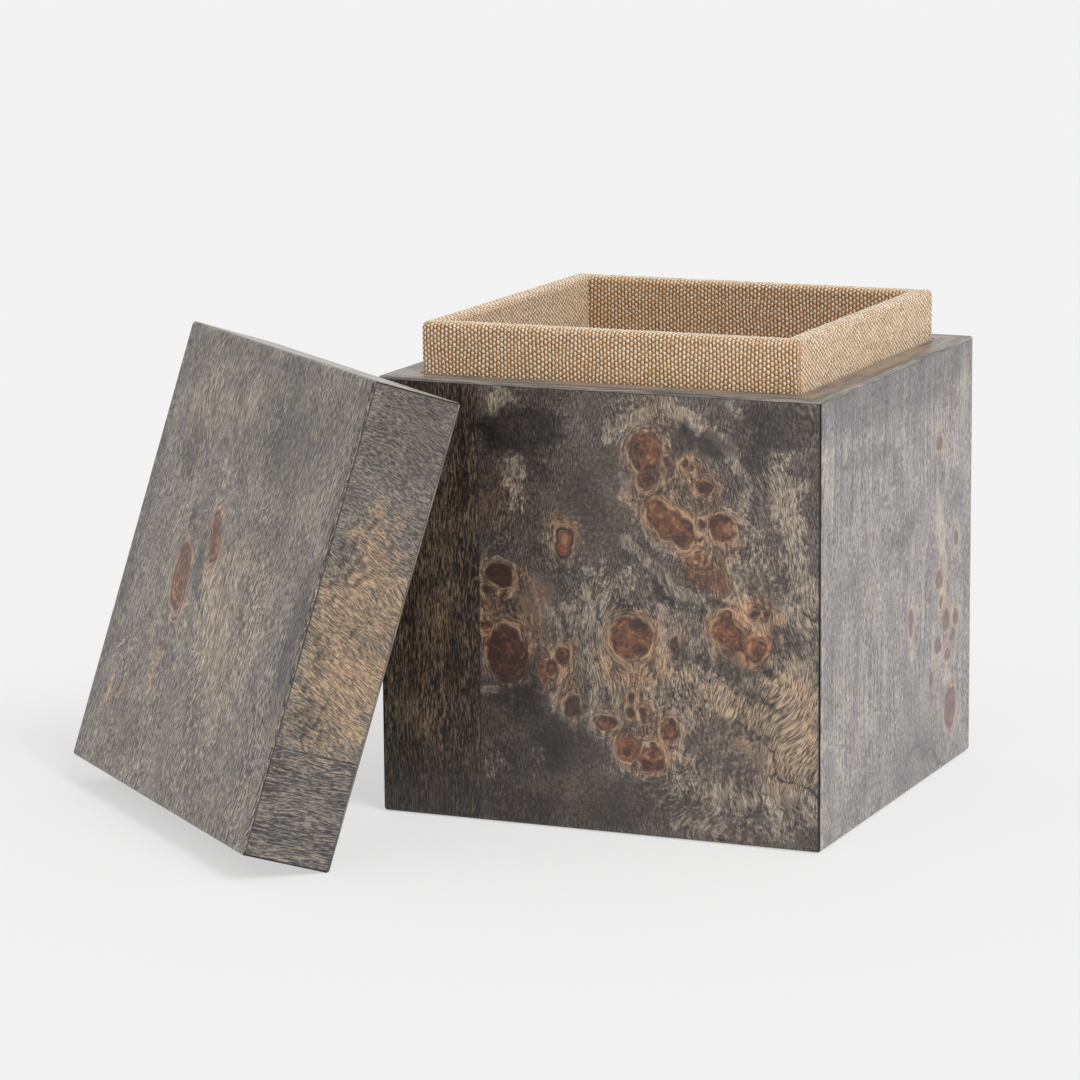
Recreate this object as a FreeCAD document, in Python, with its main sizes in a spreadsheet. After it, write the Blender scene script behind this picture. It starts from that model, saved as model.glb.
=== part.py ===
import FreeCAD, Part
import os
import Sketcher

# A square veneered canister: a mitred wooden case, a cloth-covered liner whose lip stands above
# the case's rim, and a lift-off lid that leans on the case's front left corner.
# Millimetres, +Z up. The origin is the middle of the base felt, on the surface it stands on.

doc = FreeCAD.newDocument("Canister")

# ---------------------------------------------------------------- driving dimensions

driving_sizes = [
    ("case_width", 110.0, "case, outside, left to right"),
    ("case_depth", 110.0, "case, outside, front to back"),
    ("case_height", 104.4, "case, lower edge of the wood to the rim"),
    ("core_thickness", 6.7, "mitred wall boards of case and lid"),
    ("veneer_thickness", 0.7, "burl and straight-grained leaves"),
    ("lipping_thickness", 0.7, "strips on the rims, over core and leaf"),
    ("arris_radius", 0.8, "rounding of every outer edge"),
    ("strip_width", 25.5, "straight-grained leaf at the left of the front"),
    ("base_thickness", 6.0, "base panel"),
    ("rebate_width", 3.2, "how far base and lid panels enter the walls"),
    ("felt_thickness", 1.2, "base felt"),
    ("felt_proud", 0.2, "how far the felt stands below the wood"),
    ("felt_margin", 0.5, "felt edge to the wall boards"),
    ("liner_gap", 0.3, "liner cloth to the case, and to the lid when it is on"),
    ("board_thickness", 3.8, "liner wall boards"),
    ("board_arris", 0.6, "rounding of the boards' top edges under the cloth"),
    ("floor_thickness", 3.0, "liner floor board"),
    ("cloth_thickness", 0.8, "woven cloth with its backing"),
    ("cloth_tuck", 20.0, "how far the cloth reaches down outside, below the rim"),
    ("lip_height", 12.2, "liner lip above the case's rim"),
    ("lid_height", 22.4, "lid, rim to top"),
    ("lid_panel_thickness", 6.0, "top panel of the lid"),
    ("lining_thickness", 0.5, "backing leaf inside the lid"),
    ("lean_angle", 18.1, "lid's rim off the vertical, in degrees"),
    ("lean_turn", 49.2, "heading of the lean, from +X towards +Y, in degrees"),
    ("lean_along", 46.6, "lid's front edge to the case's corner"),
    ("lean_gap", 0.3, "lid's rim to the case's corner"),
]

sizes = doc.addObject("Spreadsheet::Sheet", "Sizes")
for row, (alias, value, meaning) in enumerate(driving_sizes, start=1):
    sizes.set(f"A{row}", alias)
    sizes.set(f"B{row}", str(value))
    sizes.set(f"C{row}", meaning)
    sizes.setAlias(f"B{row}", alias)

# Values worked out from the sheet, in the order in which they depend on each other.
worked_values = [
    ("case_top", "Sizes.felt_proud + Sizes.case_height"),
    ("rim_low", "Worked.case_top - Sizes.lipping_thickness"),
    ("core_width", "Sizes.case_width - 2 * Sizes.veneer_thickness"),
    ("core_depth", "Sizes.case_depth - 2 * Sizes.veneer_thickness"),
    ("inner_width", "Worked.core_width - 2 * Sizes.core_thickness"),
    ("inner_depth", "Worked.core_depth - 2 * Sizes.core_thickness"),
    ("panel_width", "Worked.inner_width + 2 * Sizes.rebate_width"),
    ("panel_depth", "Worked.inner_depth + 2 * Sizes.rebate_width"),
    ("base_top", "Sizes.felt_thickness + Sizes.base_thickness"),
    ("liner_width", "Worked.inner_width - 2 * Sizes.liner_gap"),
    ("liner_depth", "Worked.inner_depth - 2 * Sizes.liner_gap"),
    ("board_width", "Worked.liner_width - 2 * Sizes.cloth_thickness"),
    ("board_depth", "Worked.liner_depth - 2 * Sizes.cloth_thickness"),
    ("leg_width", "Worked.board_width - 2 * Sizes.board_thickness"),
    ("leg_depth", "Worked.board_depth - 2 * Sizes.board_thickness"),
    ("hollow_width", "Worked.leg_width - 2 * Sizes.cloth_thickness"),
    ("hollow_depth", "Worked.leg_depth - 2 * Sizes.cloth_thickness"),
    ("floor_top", "Worked.base_top + Sizes.floor_thickness"),
    ("liner_floor", "Worked.floor_top + Sizes.cloth_thickness"),
    ("liner_top", "Worked.case_top + Sizes.lip_height"),
    ("board_top", "Worked.liner_top - Sizes.cloth_thickness"),
    ("tuck_low", "Worked.case_top - Sizes.cloth_tuck"),
    ("roll_radius", "Sizes.board_arris + Sizes.cloth_thickness"),
    ("lid_core_top", "Sizes.lid_height - Sizes.veneer_thickness"),
    ("lid_panel_low", "Worked.lid_core_top - Sizes.lid_panel_thickness"),
    ("lining_low", "Worked.lid_panel_low - Sizes.lining_thickness"),
    # the saw cuts reach one board's thickness past the liner's inner face
    ("mitre_depth", "(Sizes.case_width - Worked.hollow_width) / 2 + Sizes.core_thickness"),
    ("mitre_height", "max(Worked.liner_top; Sizes.lid_height)"),
    # the lid stands on its rim's left edge, and its upper arris meets the case's corner: a rim that
    # stood steeper than this would reach past the case's top and let the corner into the hollow
    ("steepest_lean", "acos(min(1; (Worked.case_top - Sizes.arris_radius)"
                      " / (Sizes.case_width - Sizes.arris_radius))) / 1 deg"),
    ("lean", "max(Sizes.lean_angle; Worked.steepest_lean)"),
    ("touch_height", "min(Worked.case_top; Sizes.case_width * cos(Worked.lean)) - Sizes.arris_radius"),
    ("corner_relief", "Sizes.arris_radius * (cos(Sizes.lean_turn) + sin(Sizes.lean_turn) - 1)"),
    ("foot_reach", "Worked.touch_height * tan(Worked.lean)"
                   " + (Sizes.lean_gap - Worked.corner_relief) / cos(Worked.lean)"),
    ("edge_relief", "Sizes.arris_radius * (cos(Worked.lean) + sin(Worked.lean) - 1)"),
    ("lean_out", "Worked.foot_reach - Sizes.case_width / 2 * sin(Worked.lean)"),
    ("lean_off", "Sizes.case_depth / 2 - Sizes.lean_along"),
    ("lean_x", "-Sizes.case_width / 2 - Worked.lean_out * cos(Sizes.lean_turn)"
               " - Worked.lean_off * sin(Sizes.lean_turn)"),
    ("lean_y", "-Sizes.case_depth / 2 - Worked.lean_out * sin(Sizes.lean_turn)"
               " + Worked.lean_off * cos(Sizes.lean_turn)"),
    ("lean_z", "Sizes.case_width / 2 * cos(Worked.lean) - Worked.edge_relief"),
]

worked = doc.addObject("App::VarSet", "Worked")
for name, formula in worked_values:
    worked.addProperty("App::PropertyFloat", name, "Worked")
    worked.setExpression(name, formula)
doc.recompute()

# The lid is drawn as it sits when it is on, its rim at z = 0 about its own middle, and then leant.
lid_lean = doc.addObject("App::Placement", "LidLean")
lid_lean.setExpression(
    "Placement",
    "create(<<placement>>; create(<<vector>>; Worked.lean_x; Worked.lean_y; Worked.lean_z);"
    " create(<<rotation>>; Sizes.lean_turn; Worked.lean - 90; 0))",
)


# ---------------------------------------------------------------- sketches and features

touching = 1e-6  # two points closer than this are one
first_end, second_end = 1, 2  # how a sketch counts the ends of an edge
across_axis, upright_axis = -1, -2  # and its own two axes
sketch_origin = (across_axis, first_end)


def sketch_on_floor(body, name, low):
    """An empty sketch parallel to the body's XY plane, at the height that low gives."""
    floor = [f for f in body.Origin.OriginFeatures if f.Role == "XY_Plane"][0]
    sketch = body.newObject("Sketcher::SketchObject", name)
    sketch.AttachmentSupport = [(floor, "")]
    sketch.MapMode = "FlatFace"
    sketch.setExpression("AttachmentOffset.Base.z", low)
    return sketch


def constrain(sketch, *rule):
    return sketch.addConstraint(Sketcher.Constraint(*rule))


def bind_length(sketch, kind, ends, name, formula):
    """A driving distance between two sketch points, tied to the sheet."""
    index = constrain(sketch, kind, *ends, 1.0)
    sketch.renameConstraint(index, name)
    sketch.setExpression(f"Constraints.{name}", formula)


def close_outline(sketch, corners):
    """Edges joined end to end; gives the first one's number. The corners only say which way round
    they go: the constraints that follow give them their places."""
    first = sketch.GeometryCount
    points = [FreeCAD.Vector(x, y, 0) for x, y in corners]
    for start, end in zip(points, points[1:] + points[:1]):
        sketch.addGeometry(Part.LineSegment(start, end), False)
    count = len(points)
    for side in range(count):
        following = first + (side + 1) % count
        constrain(sketch, "Coincident", first + side, second_end, following, first_end)
    return first


def draw_rectangle(sketch, name, width, depth):
    """A rectangle centred on the sketch's origin."""
    near = close_outline(sketch, [(-2, -1), (2, -1), (2, 1), (-2, 1)])
    right = near + 1
    for side, rule in enumerate(("Horizontal", "Vertical", "Horizontal", "Vertical")):
        constrain(sketch, rule, near + side)
    constrain(sketch, "Symmetric", near, first_end, right, second_end, *sketch_origin)
    width_ends = (near, first_end, near, second_end)
    depth_ends = (right, first_end, right, second_end)
    bind_length(sketch, "DistanceX", width_ends, f"{name}_width", width)
    bind_length(sketch, "DistanceY", depth_ends, f"{name}_depth", depth)


def pad(body, sketch, low, high):
    feature = body.newObject("PartDesign::Pad", f"{sketch.Name}_pad")
    feature.Profile = sketch
    feature.setExpression("Length", f"{high} - ({low})")
    body.Tip = feature
    return feature


def add_panel(body, name, width, depth, low, high):
    """A flat rectangular board."""
    sketch = sketch_on_floor(body, name, low)
    draw_rectangle(sketch, "outer", width, depth)
    return pad(body, sketch, low, high)


def add_ring(body, name, outer, inner, low, high):
    """Four walls at once, from an outer and an inner (width, depth)."""
    sketch = sketch_on_floor(body, name, low)
    draw_rectangle(sketch, "outer", *outer)
    draw_rectangle(sketch, "inner", *inner)
    return pad(body, sketch, low, high)


def fillet(body, base, edges, radius):
    """Rounds the base feature's named edges, or all of them when no names are given."""
    feature = body.newObject("PartDesign::Fillet", f"{base.Name}_fillet")
    feature.Base = (base, edges or ["Edge1"])
    feature.UseAllEdges = not edges
    feature.setExpression("Radius", radius)
    body.Tip = feature
    return feature


def edges_where(shape, wanted):
    """Names of the shape's straight edges whose two end points suit the wanted test."""
    names = []
    for number, edge in enumerate(shape.Edges, start=1):
        start, end = [vertex.Point for vertex in edge.Vertexes]
        if wanted(start, end):
            names.append(f"Edge{number}")
    return names


def top_edges(feature):
    """Names of the edges that run round the top of a feature."""
    top = feature.Shape.BoundBox.ZMax
    return edges_where(feature.Shape, lambda start, end: min(start.z, end.z) > top - touching)


def outer_uprights(feature):
    """Names of the upright edges at a feature's outermost corners."""
    reach = feature.Shape.BoundBox.XMax

    def is_upright(start, end):
        plumb = abs(start.x - end.x) < touching and abs(start.y - end.y) < touching
        return plumb and abs(start.x) > reach - touching

    return edges_where(feature.Shape, is_upright)


def new_body(name):
    return doc.addObject("PartDesign::Body", name)


def flat_body(name, width, depth, low, high):
    body = new_body(name)
    add_panel(body, f"{name}_plan", width, depth, low, high)
    return body


def rounded_block(name, width, depth, low, high, radius):
    """A solid block whose edges are all eased: what the outside of a box is sanded to."""
    body = new_body(name)
    block = add_panel(body, f"{name}_plan", width, depth, low, high)
    doc.recompute()
    fillet(body, block, [], radius)
    return body


def mitre_wedge(name, turn, span, reach):
    """The room behind one outer face, between two cuts at 45 degrees from its ends."""
    body = new_body(name)
    sketch = sketch_on_floor(body, f"{name}_plan", "0")
    face = close_outline(sketch, [(-4, -4), (4, -4), (3, -3), (-3, -3)])
    cut, inside = face + 1, face + 2
    for edge in (face, inside):
        constrain(sketch, "Symmetric", edge, first_end, edge, second_end, upright_axis)
    bind_length(sketch, "DistanceX", (face, first_end, face, second_end), "span", span)
    bind_length(sketch, "DistanceY", (face, first_end, *sketch_origin), "reach", reach)
    bind_length(sketch, "DistanceX", (cut, second_end, cut, first_end), "run", "Worked.mitre_depth")
    bind_length(sketch, "DistanceY", (cut, first_end, cut, second_end), "rise", "Worked.mitre_depth")
    pad(body, sketch, "0", "Worked.mitre_height")
    body.Placement.Rotation = FreeCAD.Rotation(FreeCAD.Vector(0, 0, 1), turn)
    return body


def common(name, *shapes):
    """What the shapes share, such as one wall out of four."""
    piece = doc.addObject("Part::MultiCommon", name)
    piece.Shapes = list(shapes)
    return piece


# ---------------------------------------------------------------- tools that cut the pieces

case_plan = ("Sizes.case_width", "Sizes.case_depth")
core_plan = ("Worked.core_width", "Worked.core_depth")
inner_plan = ("Worked.inner_width", "Worked.inner_depth")
panel_plan = ("Worked.panel_width", "Worked.panel_depth")
liner_plan = ("Worked.liner_width", "Worked.liner_depth")
board_plan = ("Worked.board_width", "Worked.board_depth")
leg_plan = ("Worked.leg_width", "Worked.leg_depth")
hollow_plan = ("Worked.hollow_width", "Worked.hollow_depth")

mitres = {
    "front": mitre_wedge("mitre_front", 0, "Sizes.case_width", "Sizes.case_depth / 2"),
    "right": mitre_wedge("mitre_right", 90, "Sizes.case_depth", "Sizes.case_width / 2"),
    "back": mitre_wedge("mitre_back", 180, "Sizes.case_width", "Sizes.case_depth / 2"),
    "left": mitre_wedge("mitre_left", 270, "Sizes.case_depth", "Sizes.case_width / 2"),
}


def seam_box(name, start, width):
    """Everything on one side of the vertical seam in the front's veneer."""
    box = doc.addObject("Part::Box", name)
    box.setExpression("Length", width)
    box.setExpression("Width", "Sizes.case_depth")
    box.setExpression("Height", "Worked.mitre_height")
    box.setExpression("Placement.Base.x", start)
    box.setExpression("Placement.Base.y", "-Sizes.case_depth / 2")
    return box


strip_side = seam_box("strip_side", "-Sizes.case_width / 2", "Sizes.strip_width")
burl_side = seam_box(
    "burl_side",
    "Sizes.strip_width - Sizes.case_width / 2",
    "Sizes.case_width - Sizes.strip_width",
)

# ---------------------------------------------------------------- sub-parts

parts = []


def keep(piece, on_lid=False):
    """Lists a finished sub-part; one that belongs to the lid is leant with it."""
    if on_lid:
        piece.setExpression("Placement", "LidLean.Placement")
    parts.append(piece)


def keep_walls(owner, finish, walls, envelope, on_lid=False):
    """Cuts a ring into its four mitred walls."""
    for side, wedge in mitres.items():
        keep(common(f"{owner}_{side}_{finish}", walls, envelope, wedge), on_lid)


def keep_leaves(owner, leaves, envelope, on_lid=False):
    """Cuts the veneer into leaves: one on each side, and two on the front, which meet at the seam."""
    for side in ("back", "left", "right"):
        keep(common(f"{owner}_{side}_veneer", leaves, envelope, mitres[side]), on_lid)
    for figure, seam_side in (("strip", strip_side), ("burl", burl_side)):
        name = f"{owner}_front_{figure}_veneer"
        keep(common(name, leaves, envelope, mitres["front"], seam_side), on_lid)


# The case: four mitred boards with a rebate for the base, veneered outside, lipped at the rim.
case_envelope = rounded_block(
    "case_envelope", *case_plan, "Sizes.felt_proud", "Worked.case_top", "Sizes.arris_radius"
)

case_cores = new_body("case_cores")
add_ring(case_cores, "case_rebate", core_plan, panel_plan, "Sizes.felt_proud", "Worked.base_top")
add_ring(case_cores, "case_walls", core_plan, inner_plan, "Worked.base_top", "Worked.rim_low")
keep_walls("case", "core", case_cores, case_envelope)

case_leaves = new_body("case_leaves")
add_ring(case_leaves, "case_skin", case_plan, core_plan, "Sizes.felt_proud", "Worked.rim_low")
keep_leaves("case", case_leaves, case_envelope)

case_lipping = new_body("case_lipping")
add_ring(case_lipping, "case_rim", case_plan, inner_plan, "Worked.rim_low", "Worked.case_top")
keep_walls("case_rim", "lipping", case_lipping, case_envelope)

keep(flat_body("case_base_panel", *panel_plan, "Sizes.felt_thickness", "Worked.base_top"))

felt_plan = (
    "Worked.panel_width - 2 * Sizes.felt_margin",
    "Worked.panel_depth - 2 * Sizes.felt_margin",
)
keep(flat_body("base_felt", *felt_plan, "0", "Sizes.felt_thickness"))

# The liner: four mitred boards round a floor board, all on the base panel.
liner_boards = new_body("liner_boards")
board_walls = add_ring(
    liner_boards, "board_walls", board_plan, leg_plan, "Worked.base_top", "Worked.board_top"
)
doc.recompute()
fillet(liner_boards, board_walls, top_edges(board_walls), "Sizes.board_arris")
for side, wedge in mitres.items():
    keep(common(f"liner_{side}_board", liner_boards, wedge))

keep(flat_body("liner_floor_board", *leg_plan, "Worked.base_top", "Worked.floor_top"))

# The cloth folds over the boards: a long leg inside, a short one tucked behind the case's wall.
cloth_sleeve = new_body("cloth_sleeve")
add_ring(cloth_sleeve, "cloth_leg", leg_plan, hollow_plan, "Worked.liner_floor", "Worked.tuck_low")
cloth_lip = add_ring(
    cloth_sleeve, "cloth_lip", liner_plan, hollow_plan, "Worked.tuck_low", "Worked.liner_top"
)
doc.recompute()
rolled_edges = top_edges(cloth_lip) + outer_uprights(cloth_lip)
fillet(cloth_sleeve, cloth_lip, rolled_edges, "Worked.roll_radius")

folded_cloth = doc.addObject("Part::Cut", "folded_cloth")
folded_cloth.Base = cloth_sleeve
folded_cloth.Tool = liner_boards
for side, wedge in mitres.items():
    keep(common(f"liner_{side}_cloth", folded_cloth, wedge))

keep(flat_body("liner_floor_cloth", *leg_plan, "Worked.floor_top", "Worked.liner_floor"))

# The lid: the same boards and leaves, with its top panel in a rebate under one whole leaf.
lid_envelope = rounded_block(
    "lid_envelope", *case_plan, "0", "Sizes.lid_height", "Sizes.arris_radius"
)

lid_cores = new_body("lid_cores")
add_ring(
    lid_cores, "lid_walls", core_plan, inner_plan, "Sizes.lipping_thickness", "Worked.lid_panel_low"
)
add_ring(lid_cores, "lid_rebate", core_plan, panel_plan, "Worked.lid_panel_low", "Worked.lid_core_top")
keep_walls("lid", "core", lid_cores, lid_envelope, on_lid=True)

lid_leaves = new_body("lid_leaves")
add_ring(
    lid_leaves, "lid_skin", case_plan, core_plan, "Sizes.lipping_thickness", "Worked.lid_core_top"
)
keep_leaves("lid", lid_leaves, lid_envelope, on_lid=True)

lid_lipping = new_body("lid_lipping")
add_ring(lid_lipping, "lid_rim", case_plan, inner_plan, "0", "Sizes.lipping_thickness")
keep_walls("lid_rim", "lipping", lid_lipping, lid_envelope, on_lid=True)

lid_sheets = [
    ("lid_top_veneer", case_plan, "Worked.lid_core_top", "Sizes.lid_height"),
    ("lid_top_core", panel_plan, "Worked.lid_panel_low", "Worked.lid_core_top"),
    ("lid_inner_veneer", inner_plan, "Worked.lining_low", "Worked.lid_panel_low"),
]
for name, plan, low, high in lid_sheets:
    sheet = flat_body(f"{name}_flat", *plan, low, high)
    keep(common(name, sheet, lid_envelope), on_lid=True)

doc.recompute()

# ---------------------------------------------------------------- checks and export

for item in doc.Objects:
    if "Invalid" in item.State or "Error" in item.State:
        raise RuntimeError(f"{item.Label} did not build: {item.State}")

for piece in parts:
    shape = piece.Shape
    if shape.isNull() or not shape.isValid() or len(shape.Solids) != 1:
        raise RuntimeError(f"{piece.Label} is not one valid solid")

os.makedirs("parts", exist_ok=True)
for piece in parts:
    piece.Shape.exportStep(f"parts/{piece.Label}.step")

print(f"{len(parts)} sub-parts written")
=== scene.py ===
# A burl-veneered box with its lid leaning against it and a cloth-covered liner standing proud of the rim.
import bmesh, bpy, math, random
import numpy as np
from mathutils import Matrix, Vector


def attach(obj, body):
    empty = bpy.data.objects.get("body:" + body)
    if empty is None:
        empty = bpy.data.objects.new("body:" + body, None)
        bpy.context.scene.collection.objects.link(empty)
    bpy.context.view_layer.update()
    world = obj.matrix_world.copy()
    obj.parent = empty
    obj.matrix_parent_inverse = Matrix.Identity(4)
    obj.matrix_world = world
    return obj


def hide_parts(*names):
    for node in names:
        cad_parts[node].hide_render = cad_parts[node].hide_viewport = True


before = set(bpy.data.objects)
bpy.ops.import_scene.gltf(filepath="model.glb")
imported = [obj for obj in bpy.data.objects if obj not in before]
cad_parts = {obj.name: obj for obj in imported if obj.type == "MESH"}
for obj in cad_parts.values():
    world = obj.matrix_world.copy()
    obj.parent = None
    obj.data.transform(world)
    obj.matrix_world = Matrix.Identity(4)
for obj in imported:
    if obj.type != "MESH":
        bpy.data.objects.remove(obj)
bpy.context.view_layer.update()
print("frame loaded:", len(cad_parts), "nodes")

mm = 0.001  # metres
eased = {"interpolation_type": "SMOOTHSTEP"}


def toLinear(hexColour):  # sRGB hex to the linear colour that a shader socket wants
    parts = [int(hexColour[k:k + 2], 16) / 255 for k in (1, 3, 5)]
    return tuple(c / 12.92 if c <= 0.04045 else ((c + 0.055) / 1.055) ** 2.4 for c in parts) + (1.0,)


def setInputs(tree, node, inputs):  # by name or number, or in order; a socket is linked, a value is set
    for key, value in inputs.items() if isinstance(inputs, dict) else enumerate(inputs):
        if isinstance(value, bpy.types.NodeSocket):
            tree.links.new(value, node.inputs[key])
        else:
            node.inputs[key].default_value = value


# adds a node and hands back one of its outputs; of a Mix node, input 0 is the share, 2 and 3 are two values,
# and 6 and 7 are two colours, mixed at output 2
def addNode(tree, kind, inputs=(), out=0, stops=(), **settings):
    made = tree.nodes.new("ShaderNode" + kind)
    for key, value in settings.items():
        setattr(made, key, value)
    setInputs(tree, made, inputs)
    for k, (place, colour) in enumerate(stops):  # of a colour ramp: lowest, highest, then any between
        stop = made.color_ramp.elements[k] if k < 2 else made.color_ramp.elements.new(place)
        stop.position, stop.color = place, toLinear(colour)
    return made.outputs[out]


def addGrain(tree, where, *grains):  # irregular patterns, each with its features' sizes, detail, roughness
    made = []
    for sizes, detail, roughness in grains:
        stretched = addNode(tree, "VectorMath", [where, [1 / size for size in sizes]], operation="MULTIPLY")
        made.append(addNode(tree, "TexNoise", {"Vector": stretched, "Scale": 1.0, "Detail": detail,
                                               "Roughness": roughness}))
    return made


def layColours(tree, colour, *layers):  # each over the ones before it: share, colour, way of mixing
    for share, above, way in layers:
        inputs = {0: share, 6: colour, 7: above}
        colour = addNode(tree, "Mix", inputs, out=2, data_type="RGBA", blend_type=way)
    return colour


def startMaterial(name):
    material = bpy.data.materials.new(name)
    material.use_nodes = True
    tree = material.node_tree
    return material, tree, tree.nodes["Principled BSDF"]


# the two bodies' own axes
lidStand = {"leanDegrees": 18.1, "turnDegrees": 49.2}  # how far the lid leans back, and which way it faces
lean, turn = (math.radians(lidStand[key]) for key in ("leanDegrees", "turnDegrees"))
lidAcross = (math.sin(lean) * math.cos(turn), math.sin(lean) * math.sin(turn), math.cos(lean))
lidDeep = (-math.sin(turn), math.cos(turn), 0)
lidOut = (-math.cos(lean) * math.cos(turn), -math.cos(lean) * math.sin(turn), math.sin(lean))
bodyAxes = {"case": np.eye(3), "lid": np.array([lidAcross, lidDeep, lidOut])}  # rows: x, y and z of the body

sideAxes = {  # rows: across, up and out of each side, in the body's own axes
    "front": ((1, 0, 0), (0, 0, 1), (0, -1, 0)),
    "right": ((0, 1, 0), (0, 0, 1), (1, 0, 0)),
    "back": ((-1, 0, 0), (0, 0, 1), (0, 1, 0)),
    "left": ((0, -1, 0), (0, 0, 1), (-1, 0, 0)),
    "top": ((0, -1, 0), (1, 0, 0), (0, 0, 1)),
}


def facing(body, side):  # rows: across, up and out of one side, in the shared frame
    return np.array(sideAxes[side], float) @ bodyAxes[body]


def meshPoints(mesh):  # one row of x, y and z for each point
    points = np.zeros(len(mesh.vertices) * 3)
    mesh.vertices.foreach_get("co", points)
    return points.reshape(-1, 3)


def boxAlong(axes, *starts):  # low and high corners, along the given axes, of the nodes whose names start so
    points = [meshPoints(thing.data) for name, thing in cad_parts.items() if name.startswith(starts)]
    points = np.vstack(points) @ axes.T
    return points.min(0), points.max(0)


# the figure of the veneer, worked out as smooth fields over a leaf, in millimetres
def softNoise(x, y, size, seed):  # a smooth irregular field of about unit spread
    draw = np.random.default_rng(seed)
    waves = 16
    total = np.zeros_like(x)
    for k in range(waves):
        heading, phase = draw.uniform(0, 2 * math.pi, 2)
        wave = 2 * math.pi / (size * draw.uniform(0.8, 1.9))
        total += np.sin(wave * (x * math.cos(heading) + y * math.sin(heading)) + phase)
    return total / math.sqrt(waves / 2)


def softStep(value, low, high):
    share = np.clip((value - low) / (high - low), 0, 1)
    return share * share * (3 - 2 * share)


def ovalReach(x, y, oval):  # 0 at the middle of a leaning oval, 1 on its edge
    middleX, middleY, across, along, leanDegrees = oval
    c, s = math.cos(math.radians(leanDegrees)), math.sin(math.radians(leanDegrees))
    dx, dy = x - middleX, y - middleY
    return np.hypot((dx * c + dy * s) / across, (dy * c - dx * s) / along)


farMm = 99.0
outlineReachMm = 9.0  # further than this an eye, a ribbon or a tide line changes nothing


def lineReach(x, y, line):  # distance to a polyline, and which side of it a point lies on
    nearest, side = np.full_like(x, farMm), np.zeros_like(x)
    for (ax, ay), (bx, by) in zip(line, line[1:]):
        run = (bx - ax) ** 2 + (by - ay) ** 2
        share = np.clip(((x - ax) * (bx - ax) + (y - ay) * (by - ay)) / run, 0, 1)
        away = np.hypot(x - ax - share * (bx - ax), y - ay - share * (by - ay))
        cross = (bx - ax) * (y - ay) - (by - ay) * (x - ax)
        side = np.where(away < nearest, np.sign(cross), side)
        nearest = np.minimum(away, nearest)
    return nearest, side


waver = {  # how ragged each kind of outline is, in mm: what its broad and its fine waves are multiplied by
    "broadMm": 7, "fineMm": 2.2,  # sizes of the two waves
    "eye": (0.3, 0.13), "patch": (1.0, 0.45), "tide": (0.4, 0.3),
}
smallPatch = 4  # square mm, half sizes multiplied: a smaller patch keeps its shape, a larger one is torn
roundEyes = {
    "haloMm": 1.8, "haloShare": 0.8,  # warm stain, for an eye that is all red
    "tissueMm": 3.2, "tissueShare": 0.3, "tissuePerRim": 0.3,  # cream tissue, more round a strong rim
    "partShare": 0.75, "partReach": 4,  # how far the fibres part, and how soon they close again
}


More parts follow.
